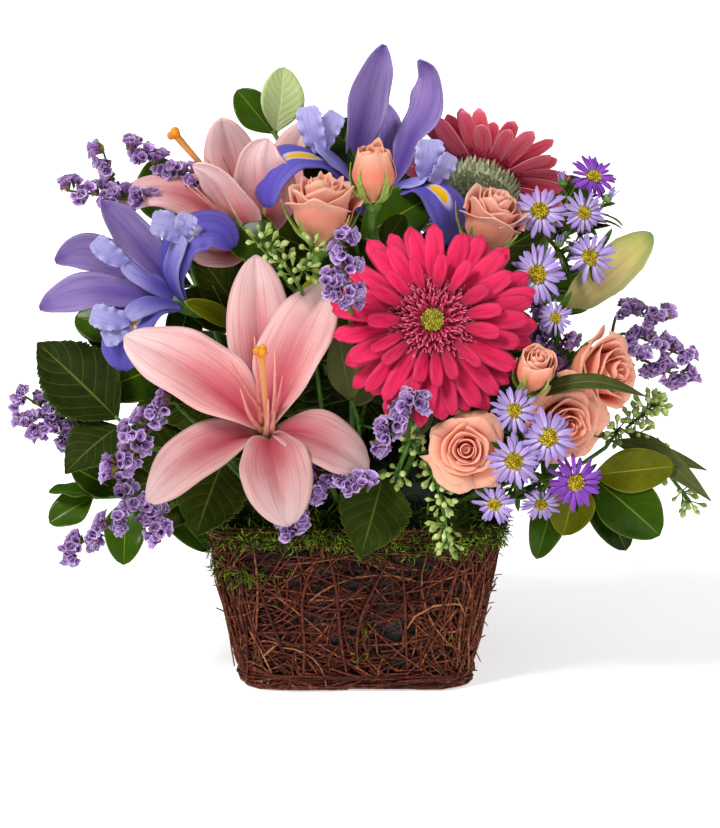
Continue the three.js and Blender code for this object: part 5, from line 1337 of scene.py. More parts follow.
# %% Gerbera rays
GOLDEN = math.radians(137.50776)
GERBERAS = {
    "front_gerbera": {
        "bloom": {"at": (39, -96, 205), "faces": (-0.05, -0.94, 0.34), "side": (1, 0, 0)},
        "rings": [
            (25, 13, 40, 90, 99, 11.4, -2.2), (24, 13, 37, 85, 91, 10.6, -0.6),
            (15, 16.5, 19, 76, 88, 7.6, 0.4),
        ],
        "finish": "gerbera_ray",
        "light": 0.56,
        "cup": 17.0,
    },
    "back_gerbera": {
        "bloom": {"at": (68, 4, 263), "faces": (0.24, 0.7, 0.6), "side": (1, -0.1, -0.3)},
        "rings": [
            (22, 12, 36, 84, 92, 10.0, -1.0), (22, 12, 34, 78, 84, 9.2, 0.6),
            (14, 15, 20, 70, 80, 7.4, 1.5),
        ],
        "finish": "gerbera_back",
        # Its rays face away from the lamp, so they are painted lighter than those of the front head.
        "light": 0.9,
        "cup": 19.0,
    },
}
STRAP = {
    "root": 0.34, "tip": 0.2, "peak": 0.58, "blunt": 0.36, "cup": -0.06, "ribs": 0.42, "ripple": 0.5,
    "late": 1.3,
}
notched = lambda t: -0.35 * (t > 0.97)
for name, head in GERBERAS.items():
    bloom = head["bloom"]
    rays = []
    for ring, (count, start, length, first, last, width, rise) in enumerate(head["rings"]):
        for k in range(count):
            azimuth = 360 * (k + 0.5 * (ring % 2) + luck.uniform(-0.26, 0.26)) / count + 5 * ring
            spec = {"open": first + luck.normal(0, 2.5), "close": last + luck.normal(0, 8), "start": start}
            size = {"length": length * luck.uniform(0.86, 1.04), "width": width * luck.uniform(0.84, 1.1)}
            notch = {"teeth": notched, "waves": 1.0, "phase": luck.random() * 6}
            place = petal_frame({**bloom, "at": behind(bloom, -rise)}, azimuth)
            place = rolled(place, 0, luck.normal(0, 0.14))
            # Painted light and shade: rays towards the upper left are painted lighter and those towards the
            # lower right darker, as if lit from the upper left. Each ring inward is a little darker.
            toward_key_light = math.sin(math.radians(azimuth - 37))
            shade = np.clip(luck.normal(head["light"] + 0.28 * toward_key_light - 0.06 * ring, 0.16), 0, 1)
            rays.append(blade(place, {**STRAP, **spec, **size, **notch}, 12, 6, shade))
    finished(name + "_rays", "", rays, head["finish"], 0.4)
print(len(rays), "rays on", name)


# %% Gerbera discs and cups
def floret_spot(bloom, k, spacing, dome):
    """The place of the k-th floret of a disc, standing on a low dome."""
    radius = spacing * math.sqrt(k + 0.5)
    at = local(bloom, radius, dome - 0.012 * radius**2, math.degrees(k * GOLDEN))
    out = local(bloom, radius, 0, math.degrees(k * GOLDEN)) - np.asarray(bloom["at"], float)
    return at, unit(bloom["faces"]) + out / 28.0


DISC = {"first": 46, "last": 600, "spacing": 0.86, "dome": 4.0}
BUTTON = {"florets": 88, "spacing": 0.62, "dome": 5.0, "size": 0.62}
CUP = {"back": 9.0, "depth": 10.0, "bract": 10.0}
BRACT_RINGS = [(52, 1.34), (50, 1.14), (46, 0.94), (40, 0.74), (32, 0.54), (20, 0.34)]
BRACT = {"root": 0.8, "cup": -0.3, "peak": 0.3}
FLORET = {"length": 5.6, "width": 1.3, "root": 0.8, "tip": 0.3, "peak": 0.4, "cup": 0.5}
half_ball = ball_blank(3)
flattened = np.where(half_ball.points[:, 2:] > 0, (1, 1, 0.02), (1, 1, 1))
half_ball = half_ball._replace(points=half_ball.points * flattened)
floret = blade(np.eye(4), {"open": 4, "close": 100, "late": 2.0, **FLORET}, 5, 2, 0.5)
for name, head in GERBERAS.items():
    bloom = head["bloom"]
    places = []
    for k in range(DISC["first"], DISC["last"]):
        at, way = floret_spot(bloom, k, DISC["spacing"], DISC["dome"])
        place = standing(at, way + luck.normal(0, 0.2, 3), 0, luck.uniform(0.7, 1.1))
        outwards = petal_frame(bloom, math.degrees(k * GOLDEN) + luck.normal(0, 24))[:3, 0]
        spin = math.atan2(outwards @ place[:3, 1], outwards @ place[:3, 0])
        places.append(rolled(place, 2, spin))
    florets = [scattered(floret, places, luck.uniform(0.1, 0.9, len(places)))]
    flat = petal_frame({**bloom, "at": behind(bloom, 1.0)}, 0)
    bed = scattered(ball_blank(3), [stretched(flat, 19.0, 19.0, 4.2)], [0.0])
    florets.append(bed._replace(uv=bed.uv * 0))
    finished(name + "_disc", "", florets, "gerbera_thread")
    closed = []
    for k in range(BUTTON["florets"]):
        spot = floret_spot(bloom, k, BUTTON["spacing"], BUTTON["dome"])
        closed.append(standing(*spot, 0, BUTTON["size"]))
    button = [scattered(ball_blank(1), closed, luck.random(len(closed)))]
    dome = petal_frame({**bloom, "at": behind(bloom, -2.6)}, 0)
    button.append(scattered(ball_blank(2), [stretched(dome, 5.8, 5.8, 2.4)], [0.3]))
    finished(name + "_disc", "button", button, "gerbera_eye")
    bracts = []
    for ring, (count, steep) in enumerate(BRACT_RINGS):
        for k in range(count):
            around = 360 * (k + 0.5 * (ring % 2) + luck.uniform(-0.2, 0.2)) / count
            out = head["cup"] * math.sin(steep)
            back = CUP["back"] + CUP["depth"] * math.cos(steep)
            root = local(bloom, out, -back, around)
            ahead = local(bloom, out + math.cos(steep + 0.3), -back + math.sin(steep + 0.3), around) - root
            outwards = local(bloom, out + math.sin(steep), -back - math.cos(steep), around) - root
            tip = root + unit(ahead) * luck.uniform(0.8, 1.15) * CUP["bract"]
            tip = tip + outwards * luck.uniform(0.6, 2.2)
            bracts.append(leaf_blade(root, tip, outwards, 2.4, BRACT, 5, 2, luck.random()))
    cup_place = petal_frame({**bloom, "at": behind(bloom, CUP["back"])}, 0)
    cup_place = stretched(cup_place, head["cup"], head["cup"], CUP["depth"])
    bracts.append(scattered(half_ball, [cup_place], [0.0]))
    finished(name + "_stem", "bracts", bracts, "bract")
    stem = rooted([behind(bloom, 40), behind(bloom, 12)], 3.0, 10, 0.6)
    finished(name + "_stem", "", [stem], "green_stem")
print("discs of", list(GERBERAS))

# %% [markdown]
# ## Spray roses
#
# A rose is a spiral of shells. The heart is rolled tight, and each petal further out is wider, opens more and
# folds its rim back. Every petal sits the golden angle past the one before. So one rule makes buds and open
# blooms: how far out a petal is sets its radius, how much of the circle it wraps, and how far its lip rolls.

# %% Rose petals
ROSE_HEADER = ("at", "faces", "side", "radius", "tall", "open")
ROSE_ROWS = {
    "rose_front": ((56, -104, 141), (-0.05, -0.97, 0.2), (1, 0, 0), 15.5, 17, 1),
    "rose_right": ((102, -84, 153), (0.3, -0.92, -0.02), (1, 0.2, 0), 16.5, 22, 0.85),
    "rose_right_high": ((114, -66, 172), (0.74, -0.62, 0.16), (0, 0, 1), 18, 30, 0.5),
    "rose_right_bud": ((87, -100, 172), (0.2, -0.56, 0.8), (1, 0, 0), 11, 25, 0.15),
    "rose_top_bud": ((9, -62, 262), (-0.02, -0.2, 1), (1, 0, 0), 13.5, 28, 0),
    "rose_top": ((-17, -62, 240), (0.03, -0.16, 0.98), (1, 0, 0), 16.5, 35, 0.3),
    "rose_behind": ((65, -50, 235), (0.3, -0.22, 0.93), (1, 0, 0), 15.5, 32, 0.34),
}
ROSES = {name: dict(zip(ROSE_HEADER, row)) for name, row in ROSE_ROWS.items()}
BUD_OPENING = 0.2
DUSTY = ("rose_behind", "rose_top")


def rose_petal(rose, share, turn, draw):
    """One shell of a rose, `share` of the way from its heart to its outside."""
    blank = sheet_blank(12, 12)
    t, side = blank.uv[:, 0], blank.points[:, 1]
    radius, tall, opened = rose["radius"], rose["tall"], rose["open"]
    is_bud = opened < BUD_OPENING
    body = radius * (0.08 + 0.84 * share**0.85)
    wrap = 2.1 - (1.05 - 0.2 * is_bud) * share**0.7
    reach = 0.86 + 0.1 * share if opened == 0 else 1.0 - 0.1 * share - 0.22 * opened * share**2
    top = tall * reach * (1 + draw.normal(0, 0.035 if opened else 0.02))
    lip = (0.03 + 0.5 * opened * share**1.6 * draw.uniform(0.6, 1.35) + 0.07 * share) * radius
    rise = np.sin(np.pi / 2 * np.minimum(1, t / 0.6)) ** 0.9
    across = side * (0.4 + 0.6 * np.sin(np.pi / 2 * np.minimum(1, t / 0.5)))
    past = np.maximum(0, (t - 0.6) / 0.4)
    closing = np.maximum(0, (t - 0.42) / 0.58) ** 1.5 * (0.62 - 1.5 * opened) * is_bud
    r = 0.3 * body + 0.7 * body * rise * (1 - closing) + lip * past**1.8
    r = r + radius * 0.09 * share * (0.4 + opened) * np.abs(side) ** 4 * t - 0.1 * body * (1 - share) * t**3
    ruffle = np.sin(side * 5.2 + draw.uniform(0, 6)) * 0.06 + np.sin(side * 9.1 + draw.uniform(0, 6)) * 0.03
    r = r * (1 + ruffle * past * (0.3 + share))
    arch = 1 - (0.1 if is_bud else 0.24 - 0.06 * share) * side**2 * t
    point = 0.06 * np.exp(-((side / 0.2) ** 2)) * past * share
    z = top * (t * arch + point) - tall * 0.3 * opened * share**1.8 * past**2.2 + top * ruffle * past * 0.6
    angle = turn + across * wrap
    points = np.column_stack([r * np.cos(angle), r * np.sin(angle), z])
    return shaded(blank._replace(points=points), share)


for number, (name, rose) in enumerate(ROSES.items()):
    draw = np.random.default_rng(40 + number)
    count, heart_shift = (12, 0.35) if rose["open"] < BUD_OPENING else (17, 0.0)
    place = petal_frame(rose, 0)
    shells = []
    for k in range(count):
        share = k / (count - 1)
        shell = rose_petal(rose, share, k * GOLDEN + draw.normal(0, 0.12), draw)
        pinker = min(1, heart_shift + share * (1 - heart_shift) * 1.05)
        shells.append(moved(shaded(shell, pinker), place))
    core = rod_blank(10, 6)
    cone = core.points * np.array([1, 1, rose["tall"] * 0.72])
    cone[:, :2] *= rose["radius"] * (0.42 - 0.3 * core.points[:, 2:3])
    shells.append(moved(shaded(core._replace(points=cone), 0.1), place))
    finish = "dusty_rose" if name in DUSTY else "peach_rose"
    finished(name, "", shells, finish, 0.45)
print(len(ROSES), "roses")

# %% Rose stems and sepals
ROSE_SPRAYS = {
    "right_rose_stems": ((85, -62, 144), ["rose_front", "rose_right", "rose_right_high", "rose_right_bud"]),
    "top_rose_stems": ((23, -46, 212), ["rose_top_bud", "rose_top", "rose_behind"]),
}
SEPAL = {"width": 5.6, "root": 0.9, "tip": 0.02, "peak": 0.16, "blunt": 1.2, "cup": -0.3, "ripple": 0.3}
saw = lambda t: -0.09 * ((t * 17) % 1.0) * (t < 0.97)
for name, (fork, keys) in ROSE_SPRAYS.items():
    fork = np.array(fork, float)
    blooms = [ROSES[key] for key in keys]
    green = [rooted([fork, fork * 0.98 + np.array(blooms[0]["at"]) * 0.02], 2.2)]
    sepals, small_leaves = [], []
    for k, rose in enumerate(blooms):
        green.append(tube([fork, behind(rose, 18), behind(rose, 3)], 1.7, 10, 14, lambda t: 1 + 1.1 * t**4))
        hip = standing(behind(rose, 3.2), rose["faces"], 0, 0.24 * rose["radius"] + 1.4)
        green.append(scattered(ball_blank(2), [hip], [0.6]))
        length = 0.78 * rose["tall"] + 4
        if rose["open"] < BUD_OPENING:
            length = 0.7 * rose["tall"] + 4
            slopes = {"open": 86, "close": -8, "late": 0.5, "start": 0.2 * rose["radius"]}
        elif rose["tall"] > 26:
            slopes = {"open": 88, "close": 22, "late": 0.5, "start": 1.5}
        else:
            slopes = {"open": 95, "close": 118, "late": 1.2, "start": 1.5}
        below = {**rose, "at": behind(rose, 1.6)}
        for m in range(5):
            spec = {**SEPAL, **slopes, "length": length, "phase": m}
            sepals.append(blade(petal_frame(below, 20 + 72 * m), spec, 10, 4, 0.4 + 0.1 * m))
        way = behind(rose, 18) - fork
        for m in (0.35, 0.7):
            base = fork + way * m
            out = unit(np.cross(way, (0.2, -1, 0.3 + m))) * (1 if m > 0.5 else -1) + (0, -0.2, 0.5)
            tip = base + unit(out) * 24
            small_leaves.append(leaf_blade(base, tip, (0.1, -0.8, 0.6), 14, {"teeth": saw}, 16, 6, 0.5))
    finished(name, "", green, "green_stem")
    finished(name, "sepals", sepals, "sepal", 0.5)
    finished(name, "leaves", small_leaves, "rose_leaf", 0.5)
print(list(ROSE_SPRAYS))

# %% [markdown]
# ## Asters
#
# Monte-cassino type asters are small daisies on a bushy stem with many narrow leaves. One ray is modelled,
# folded slightly along its length, and about thirty copies make a head in two loose rings. The eye is a dome
# of tiny yellow florets. One head of each spray is of a deeper purple, and a few buds are still closed.

# %% Aster parts
ASTER = {"ray": 10.2, "width": 2.5, "disc": 4.7, "side": (1, 0.1, 0.2)}
ASTERS = {
    "upper_asters": {
        "fork": (94, -20, 191),
        "knots": [(104, -42, 233), (116, -40, 240), (100, -52, 208)],
        "heads": [
            ((95, -50, 254), (-0.15, -0.85, 0.5), 1, 0), ((123, -38, 270), (0.3, -0.7, 0.65), 0.85, 1),
            ((117, -56, 254), (0.05, -0.95, 0.3), 0.75, 0), ((120, -72, 234), (-0.55, -0.8, -0.1), 0.95, 0),
            ((92, -80, 226), (-0.1, -0.95, 0.3), 1, 0), ((101, -86, 205), (0.3, -0.9, 0.1), 0.6, 0),
        ],
        "buds": [
            ((107, -42, 268), (-0.1, -0.2, 1)), ((130, -44, 260), (0.6, -0.3, 0.6)),
            ((104, -66, 240), (0.2, -0.8, 0.5)),
        ],
    },
    "lower_asters": {
        "fork": (85, -74, 123),
        "knots": [(80, -96, 145), (81, -92, 121), (96, -94, 123)],
        "heads": [
            ((79, -120, 164), (-0.1, -0.9, 0.4), 0.8, 0), ((96, -122, 151), (0.05, -0.98, 0.2), 1, 0),
            ((79, -126, 140), (-0.1, -0.98, 0.1), 0.95, 0), ((70, -112, 115), (-0.2, -0.9, -0.3), 0.75, 0),
            ((94, -104, 113), (0.1, -0.9, -0.3), 0.7, 0), ((110, -116, 127), (0.2, -0.95, -0.05), 0.95, 1),
        ],
        "buds": [((88, -112, 130), (0.1, -0.9, -0.2)), ((62, -108, 126), (-0.6, -0.7, 0.2))],
    },
}
ray_size = {"length": ASTER["ray"], "width": ASTER["width"], "start": 4.2}
ray_shape = {"open": 84, "close": 97, "root": 0.5, "tip": 0.34, "peak": 0.6, "cup": 0.34}
aster_ray = blade(np.eye(4), {**ray_size, **ray_shape}, 6, 2)
leaf_spec = {"length": 17, "width": 3.4, "open": 58, "close": 92, "cup": 0.3, "root": 0.3, "tip": 0.04}
narrow_leaf = blade(np.eye(4), leaf_spec, 7, 2)
print(sum(len(spray["heads"]) for spray in ASTERS.values()), "aster heads")


def daisy(at, faces, size, count, draw):
    """Rays of one head: two loose rings, each ray with its own lift, twist and length."""
    bloom = {"at": at, "faces": faces, "side": ASTER["side"]}
    places, tints = [], []
    for k in range(count):
        place = petal_frame(bloom, 360 * (k + draw.uniform(-0.45, 0.45)) / count)
        lift = draw.normal(0.1 if k % 2 else -0.14, 0.14)
        longer, wider = draw.uniform(0.8, 1.14), draw.uniform(0.75, 1.15)
        places.append(stretched(rolled(place, 1, -lift), longer * size, wider * size, size))
        tints.append(np.clip(draw.normal(0.5, 0.2), 0, 1))
    return scattered(aster_ray, places, tints)


def daisy_eye(at, faces, size):
    """The eye: a low dome set with tiny florets in spirals."""
    bloom = {"at": at, "faces": faces, "side": ASTER["side"]}
    radius = ASTER["disc"] * size
    grains = []
    for k in range(52):
        grains.append(standing(*floret_spot(bloom, k, radius / 7.2, 2.2 * size), 0, 0.62 * size))
    dome = stretched(petal_frame(bloom, 0), radius, radius, 2.2 * size)
    return [scattered(ball_blank(1), grains, luck.random(52)), scattered(ball_blank(2), [dome], [0.1])]


# %% Aster sprays
CLOSED_RAYS = 14
upright_ray = moved(aster_ray, frame_at((0, 0, 0), (0, 0, 1), (1, 0, 0)))
for number, (name, spray) in enumerate(ASTERS.items()):
    draw = np.random.default_rng(90 + number)
    fork = np.array(spray["fork"], float)
    knots = [np.array(knot, float) for knot in spray["knots"]]
    green = [rooted([fork, fork * 0.95 + knots[0] * 0.05], 1.8)]
    paths = [np.array([fork, (fork + knot) / 2, knot]) for knot in knots]
    rays, deep_rays, eyes = [], [], []
    for at, faces, size, deep in spray["heads"]:
        foot = behind({"at": at, "faces": faces}, 2.5 * size)
        knot = min(knots, key=lambda k: np.linalg.norm(foot - k))
        paths.append(np.array([knot, (knot + foot) / 2 + (1, 1, -3), foot]))
        (deep_rays if deep else rays).append(daisy(at, faces, size, 36 if deep else 30, draw))
        eyes += daisy_eye(at, faces, size)
        cup = petal_frame({"at": foot, "faces": faces, "side": ASTER["side"]}, 0)
        green.append(scattered(ball_blank(2), [stretched(cup, 3.4 * size, 3.4 * size, 3.0 * size)], [0.5]))
    for at, faces in spray["buds"]:
        foot = behind({"at": at, "faces": faces}, 2.5)
        knot = min(knots, key=lambda k: np.linalg.norm(foot - k))
        paths.append(np.array([knot, (knot + foot) / 2 + (1, 1, -2), foot]))
        green.append(scattered(ball_blank(2), [standing(at, faces, 0, 2.5)], [0.7]))
        closed = []
        for _ in range(CLOSED_RAYS):
            spot = np.asarray(at) + draw.normal(0, 0.9, 3)
            closed.append(standing(spot, unit(faces) + draw.normal(0, 0.25, 3), 0, 0.42))
        rays.append(scattered(upright_ray, closed, draw.random(CLOSED_RAYS)))
    leaf_places = []
    for path in paths:
        green.append(tube(path, 0.8 if len(green) > 4 else 1.1, 6, 8, lambda t: 1 - 0.3 * t))
        points = curve_through(path, 6)
        way = unit(path[-1] - path[0])
        for k, p in enumerate(points[:-1]):
            out = np.cross(way, (math.cos(2.4 * k), -0.6, math.sin(2.4 * k)))
            place = frame_at(p, out, way)
            place[:3, :3] *= draw.uniform(0.6, 1.15)
            leaf_places.append(place)
    leaves = scattered(narrow_leaf, leaf_places, draw.random(len(leaf_places)))
    finished(name, "", rays, "aster_ray", 0.3)
    finished(name, "deep", deep_rays, "deep_aster_ray", 0.3)
    finished(name, "eyes", eyes, "aster_eye")
    finished(name, "stems", green, "green_stem")
    finished(name, "leaves", [leaves], "waxy_leaf", 0.4)
print(list(ASTERS))

# %% [markdown]
# ## Statice
#
# Statice keeps its colour for months because what looks like petals is dry, papery calyx. Each is a crumpled
# cup with a frilled, paler rim on a narrow green foot. A few of them stand side by side as a small ruffled
# group, and the groups sit along thin green fingers with brown-green scales below and gaps between.
# One cup is modelled in four crumpled forms and then repeated.

# %% Where the statice stands
STATICES = {
    "statice_top_left": ([(-93, -22, 241), (-96, -28, 251)], [
        ((-105, -40, 257), (-148, -44, 264), (0, -0.5, 1)),
        ((-122, -36, 262), (-130, -38, 284), (-1, -0.5, 0.2)),
        ((-78, -24, 262), (-117, -26, 283), (-0.1, -0.5, 1)),
    ]),
    "statice_left": ([(-123, -22, 118), (-135, -34, 129)], [
        ((-140, -42, 134), (-173, -48, 157), (-0.2, -0.6, 1)),
        ((-142, -44, 132), (-171, -52, 143), (-0.3, -0.8, 0.3)),
    ]),
    "statice_left_middle": ([(-80, -66, 144), (-90, -82, 158)], [
        ((-94, -92, 162), (-113, -98, 148), (-0.6, -0.8, 0.5)),
        ((-103, -92, 149), (-121, -100, 129), (-0.6, -0.8, 0.1)),
    ]),
    "statice_low_left": ([(-87, -58, 102), (-97, -72, 102)], [
        ((-105, -82, 105), (-118, -88, 115), (-0.3, -0.8, 0.6)),
        ((-114, -84, 104), (-146, -92, 85), (-0.4, -0.8, 0.3)),
        ((-104, -82, 100), (-100, -90, 92), (0, -1, -0.2)),
    ]),
    "statice_low": ([(-13, -78, 119), (-15, -96, 126)], [
        ((-15, -98, 127), (-8, -97, 134), (0, -0.9, 0.6)),
        ((-13, -104, 128), (4, -112, 124), (0.2, -1, 0.3)),
        ((-19, -104, 126), (-32, -110, 101), (-0.2, -1, -0.1)),
    ]),
    "statice_middle": ([(33, -70, 139), (26, -104, 156)], [
        ((24, -110, 161), (10, -116, 148), (-0.2, -1, 0)),
        ((22, -110, 163), (33, -116, 170), (0.2, -1, 0.3)),
    ]),
    "statice_centre": ([(-2, -80, 198), (-2, -104, 211)], [
        ((-4, -112, 218), (-11, -116, 228), (-0.2, -1, 0.1)),
        ((-3, -112, 223), (-6, -118, 250), (0, -1, 0.2)),
    ]),
    "statice_behind_gerbera": ([(86, -44, 160), (96, -58, 178)], [
        ((96, -64, 184), (97, -70, 204), (-0.2, -0.9, 0.3)),
        ((102, -66, 178), (107, -72, 192), (0.2, -0.9, 0.3)),
    ]),
    "statice_right": ([(129, -30, 178), (134, -34, 185)], [
        ((139, -38, 200), (161, -40, 196), (0.2, -0.6, 1)),
        ((144, -40, 188), (171, -42, 177), (0.3, -0.6, 1)),
        ((141, -44, 180), (172, -46, 165), (0.2, -0.9, 0.5)),
    ]),
    "back_statice": ([(10, 60, 170), (12, 82, 205)], [
        ((12, 86, 212), (8, 96, 250), (0, 1, 0.2)), ((16, 84, 206), (44, 100, 232), (0.3, 1, 0.4)),
    ]),
}
print(sum(len(fingers) for _, fingers in STATICES.values()), "fingers of statice")


# %% One funnel
def funnel(seed):
    """A crumpled paper cup with a frilled rim, open at the top."""
    draw = np.random.default_rng(seed)
    blank = rod_blank(13, 4)
    wall = blank.sides == 4
    t = blank.points[:, 2]
    turn = np.arctan2(blank.points[:, 1], blank.points[:, 0])
    frill = np.cos(5 * turn + draw.uniform(0, 6)) + 0.4 * np.cos(3 * turn + draw.uniform(0, 6))
    r = 0.7 + 2.5 * t**1.7 * (1 + 0.16 * frill + draw.normal(0, 0.05, len(t)))
    z = 5.4 * t**0.8 + t**2 * (0.35 * np.cos(5 * turn + draw.uniform(0, 6)) + draw.normal(0, 0.2, len(t)))
    points = np.column_stack([np.cos(turn) * r, np.sin(turn) * r * 0.8, z])
    loops = blank.loops[np.repeat(wall, blank.sides)]
    return blank._replace(points=points, loops=loops, sides=blank.sides[wall])


funnels = [funnel(seed) for seed in (3, 5, 8, 12)]
scale_spec = {"length": 5.5, "width": 2.6, "open": 30, "close": 50, "cup": 0.5, "root": 0.7, "tip": 0.1}
bract_scale = blade(np.eye(4), scale_spec, 4, 2)
print(len(funnels), "crumpled cups")

# %% Statice sprays
GROUP_STEP, GROUP_SPREAD, CUPS_IN_GROUP = 7.4, 5.4, 13
for number, (name, (root, fingers)) in enumerate(STATICES.items()):
    draw = np.random.default_rng(130 + number)
    green, spots, scales = [rooted(root, 1.5)], [], []
    for start, end, side in fingers:
        start, end = np.array(start, float), np.array(end, float)
        green.append(tube([root[-1], start, end], 1.0, 6, 10, lambda t: 1 - 0.4 * t))
        way = unit(end - start)
        face = unit(unit(side) - way * np.dot(unit(side), way))
        flank = np.cross(way, face)
        groups = max(2, round(np.linalg.norm(end - start) / GROUP_STEP) + 1)
        for k in range(groups):
            spine = start + (end - start) * k / (groups - 1)
            lean = 0.75 * (-1) ** k + draw.normal(0, 0.25)
            out = unit(face * math.cos(lean) + flank * math.sin(lean) + way * draw.uniform(0.1, 0.6))
            fan = unit(np.cross(out, flank * math.cos(draw.random()) + way))
            for m in range(CUPS_IN_GROUP):
                reach = (m - (CUPS_IN_GROUP - 1) / 2) * 2 * GROUP_SPREAD / CUPS_IN_GROUP
                foot = spine + out * draw.uniform(0.5, 2.5) + fan * reach * 0.55
                foot = foot + np.cross(out, fan) * draw.normal(0, 1.7)
                grow = unit(out + fan * reach / 9.0 + draw.normal(0, 0.2, 3))
                spots.append(standing(foot, grow, draw.random() * 6, draw.uniform(0.72, 1.1)))
                low = foot - grow * 1.5
                scales.append(standing(low, grow, draw.random() * 6, draw.uniform(0.55, 0.85)))
            green.append(tube([spine, spine + out * 2.5], 0.8, 5, 3))
    tints = np.clip(draw.normal(0.5, 0.24, len(spots)), 0, 1)
    paper = [scattered(f, spots[i::4], tints[i::4]) for i, f in enumerate(funnels)]
    finished(name, "", paper, "statice_paper")
    bracts = scattered(bract_scale, scales, draw.random(len(scales)))
    finished(name, "bracts", [bracts], "brown_calyx")
    finished(name, "stems", green, "green_stem")
print(len(STATICES), "statice sprays")

# %% [markdown]
# ## Seeded eucalyptus
#
# The pale green beads are seed capsules. Eight hang together on one short stalk, as an umbel. Each is
# a small top with a ring at its shoulder and a pointed cap. One capsule is turned and copied. Two of the
# branches also carry long, narrow, grey-green leaves, one of which lies over the roses.

# %% Eucalyptus branches
EUCALYPTUS = {
    "seeds_centre": {
        "trunk": [(-23, -64, 195), (-30, -78, 223), (-47, -86, 244)],
        "twigs": [[(-29, -77, 220), (-22, -80, 238)]],
        "umbels": [
            ((-47, -86, 244), (-0.4, -0.5, 0.8)), ((-22, -80, 238), (0.2, -0.6, 0.8)),
            ((-26, -79, 228), (0.6, -0.7, 0.1)),
        ],
        "leaves": [],
        "bare_below": 222,
    },
    "seeds_front": {
        "trunk": [(25, -74, 131), (28, -96, 143), (41, -104, 125), (47, -102, 93)],
        "twigs": [[(25, -97, 142), (22, -104, 130)]],
        "umbels": [
            ((22, -104, 130), (-0.3, -0.7, -0.6)), ((39, -104, 127), (-0.8, -0.5, -0.2)),
            ((42, -104, 119), (0.8, -0.5, 0.1)), ((46, -103, 103), (-0.5, -0.7, -0.6)),
            ((48, -102, 92), (0, -0.4, -1)),
        ],
        "leaves": [],
    },
    "eucalyptus_right": {
        "trunk": [(120, -58, 124), (142, -52, 140), (175, -54, 102)],
        "twigs": [[(139, -52, 138), (155, -50, 152)]],
        "umbels": [
            ((155, -50, 152), (0.4, -0.4, 0.8)), ((150, -50, 148), (0.9, -0.5, 0)),
            ((157, -52, 126), (0.8, -0.3, 0.5)), ((175, -54, 102), (0.2, -0.4, -1)),
            ((131, -50, 136), (-0.2, -0.9, 0.4)), ((152, -50, 150), (-0.2, -0.9, 0.6)),
            ((147, -50, 145), (0.1, -1, 0.4)), ((155, -50, 152), (0.9, -0.4, 0.4)),
            ((144, -50, 142), (0.2, -0.6, 0.8)),
        ],
        "leaves": [
            ((130, -54, 136), (183, -68, 124), (0.1, -0.8, 0.6), 11),
            ((140, -52, 136), (183, -58, 100), (0, -0.9, 0.5), 13),
            ((130, -50, 135), (104, -104, 174), (0.3, -0.6, 0.7), 9),
        ],
        "over_roses": [
            (89, -92, 163), (95, -98, 169), (105, -103, 174), (119, -105, 176), (133, -105, 173),
            (146, -104, 168),
        ],
    },
    "eucalyptus_middle": {
        "trunk": [(2, -60, 141), (-2, -78, 161)],
        "twigs": [[(2, -64, 145), (28, -84, 141)]],
        "umbels": [],
        "leaves": [
            ((-2, -78, 160), (-13, -98, 195), (-0.2, -1, 0.1), 18),
            ((25, -80, 140), (39, -98, 164), (0.2, -1, 0.1), 19),
            ((-1, -76, 155), (9, -92, 171), (0.2, -1, 0.3), 12),
        ],
    },
}
OVER_ROSES = {
    "width": 9.5, "root": 0.1, "tip": 0.02, "peak": 0.42, "blunt": 0.95, "groove": 0.3, "ripple": 0.4,
}
CAPSULE_PROFILE = [
    (0.0, 0.4), (0.15, 0.5), (0.45, 1.15), (0.68, 1.65), (0.74, 1.45), (0.87, 0.8), (1.0, 0.1),
]
CAPSULE_LENGTH, STALK, CAPSULES_IN_UMBEL = 6.4, (0.36, 0.36, 4.6), 8
capsule = rod_blank(8, 7)
swell = np.interp(capsule.points[:, 2], *zip(*CAPSULE_PROFILE))
capsule_size = np.column_stack([swell, swell, np.full(len(swell), CAPSULE_LENGTH)])
capsule = capsule._replace(points=capsule.points * capsule_size)
stalk = rod_blank(5, 2)
stalk = stalk._replace(points=stalk.points * STALK)


def nearest_on(paths, point):
    """The point of any of the paths that lies nearest to a given one."""
    dense = np.concatenate([curve_through(path, 60) for path in paths])
    return dense[np.argmin(np.linalg.norm(dense - np.asarray(point, float), axis=1))]


def umbel(at, faces, draw):
    """The places of an umbel's capsules, and those of their stalks, fanned out round `faces`."""
    stalks, capsules = [], []
    for k in range(CAPSULES_IN_UMBEL):
        away = standing(at, faces, k * GOLDEN)
        lean = 0.15 + 1.15 * math.sqrt((k + 0.5) / CAPSULES_IN_UMBEL)
        way = away[:3, 2] * math.cos(lean) + away[:3, 0] * math.sin(lean)
        stalks.append(standing(at, way))
        capsules.append(standing(np.asarray(at) + way * 4.2, way, draw.random(), draw.uniform(0.75, 1.1)))
    return stalks, capsules


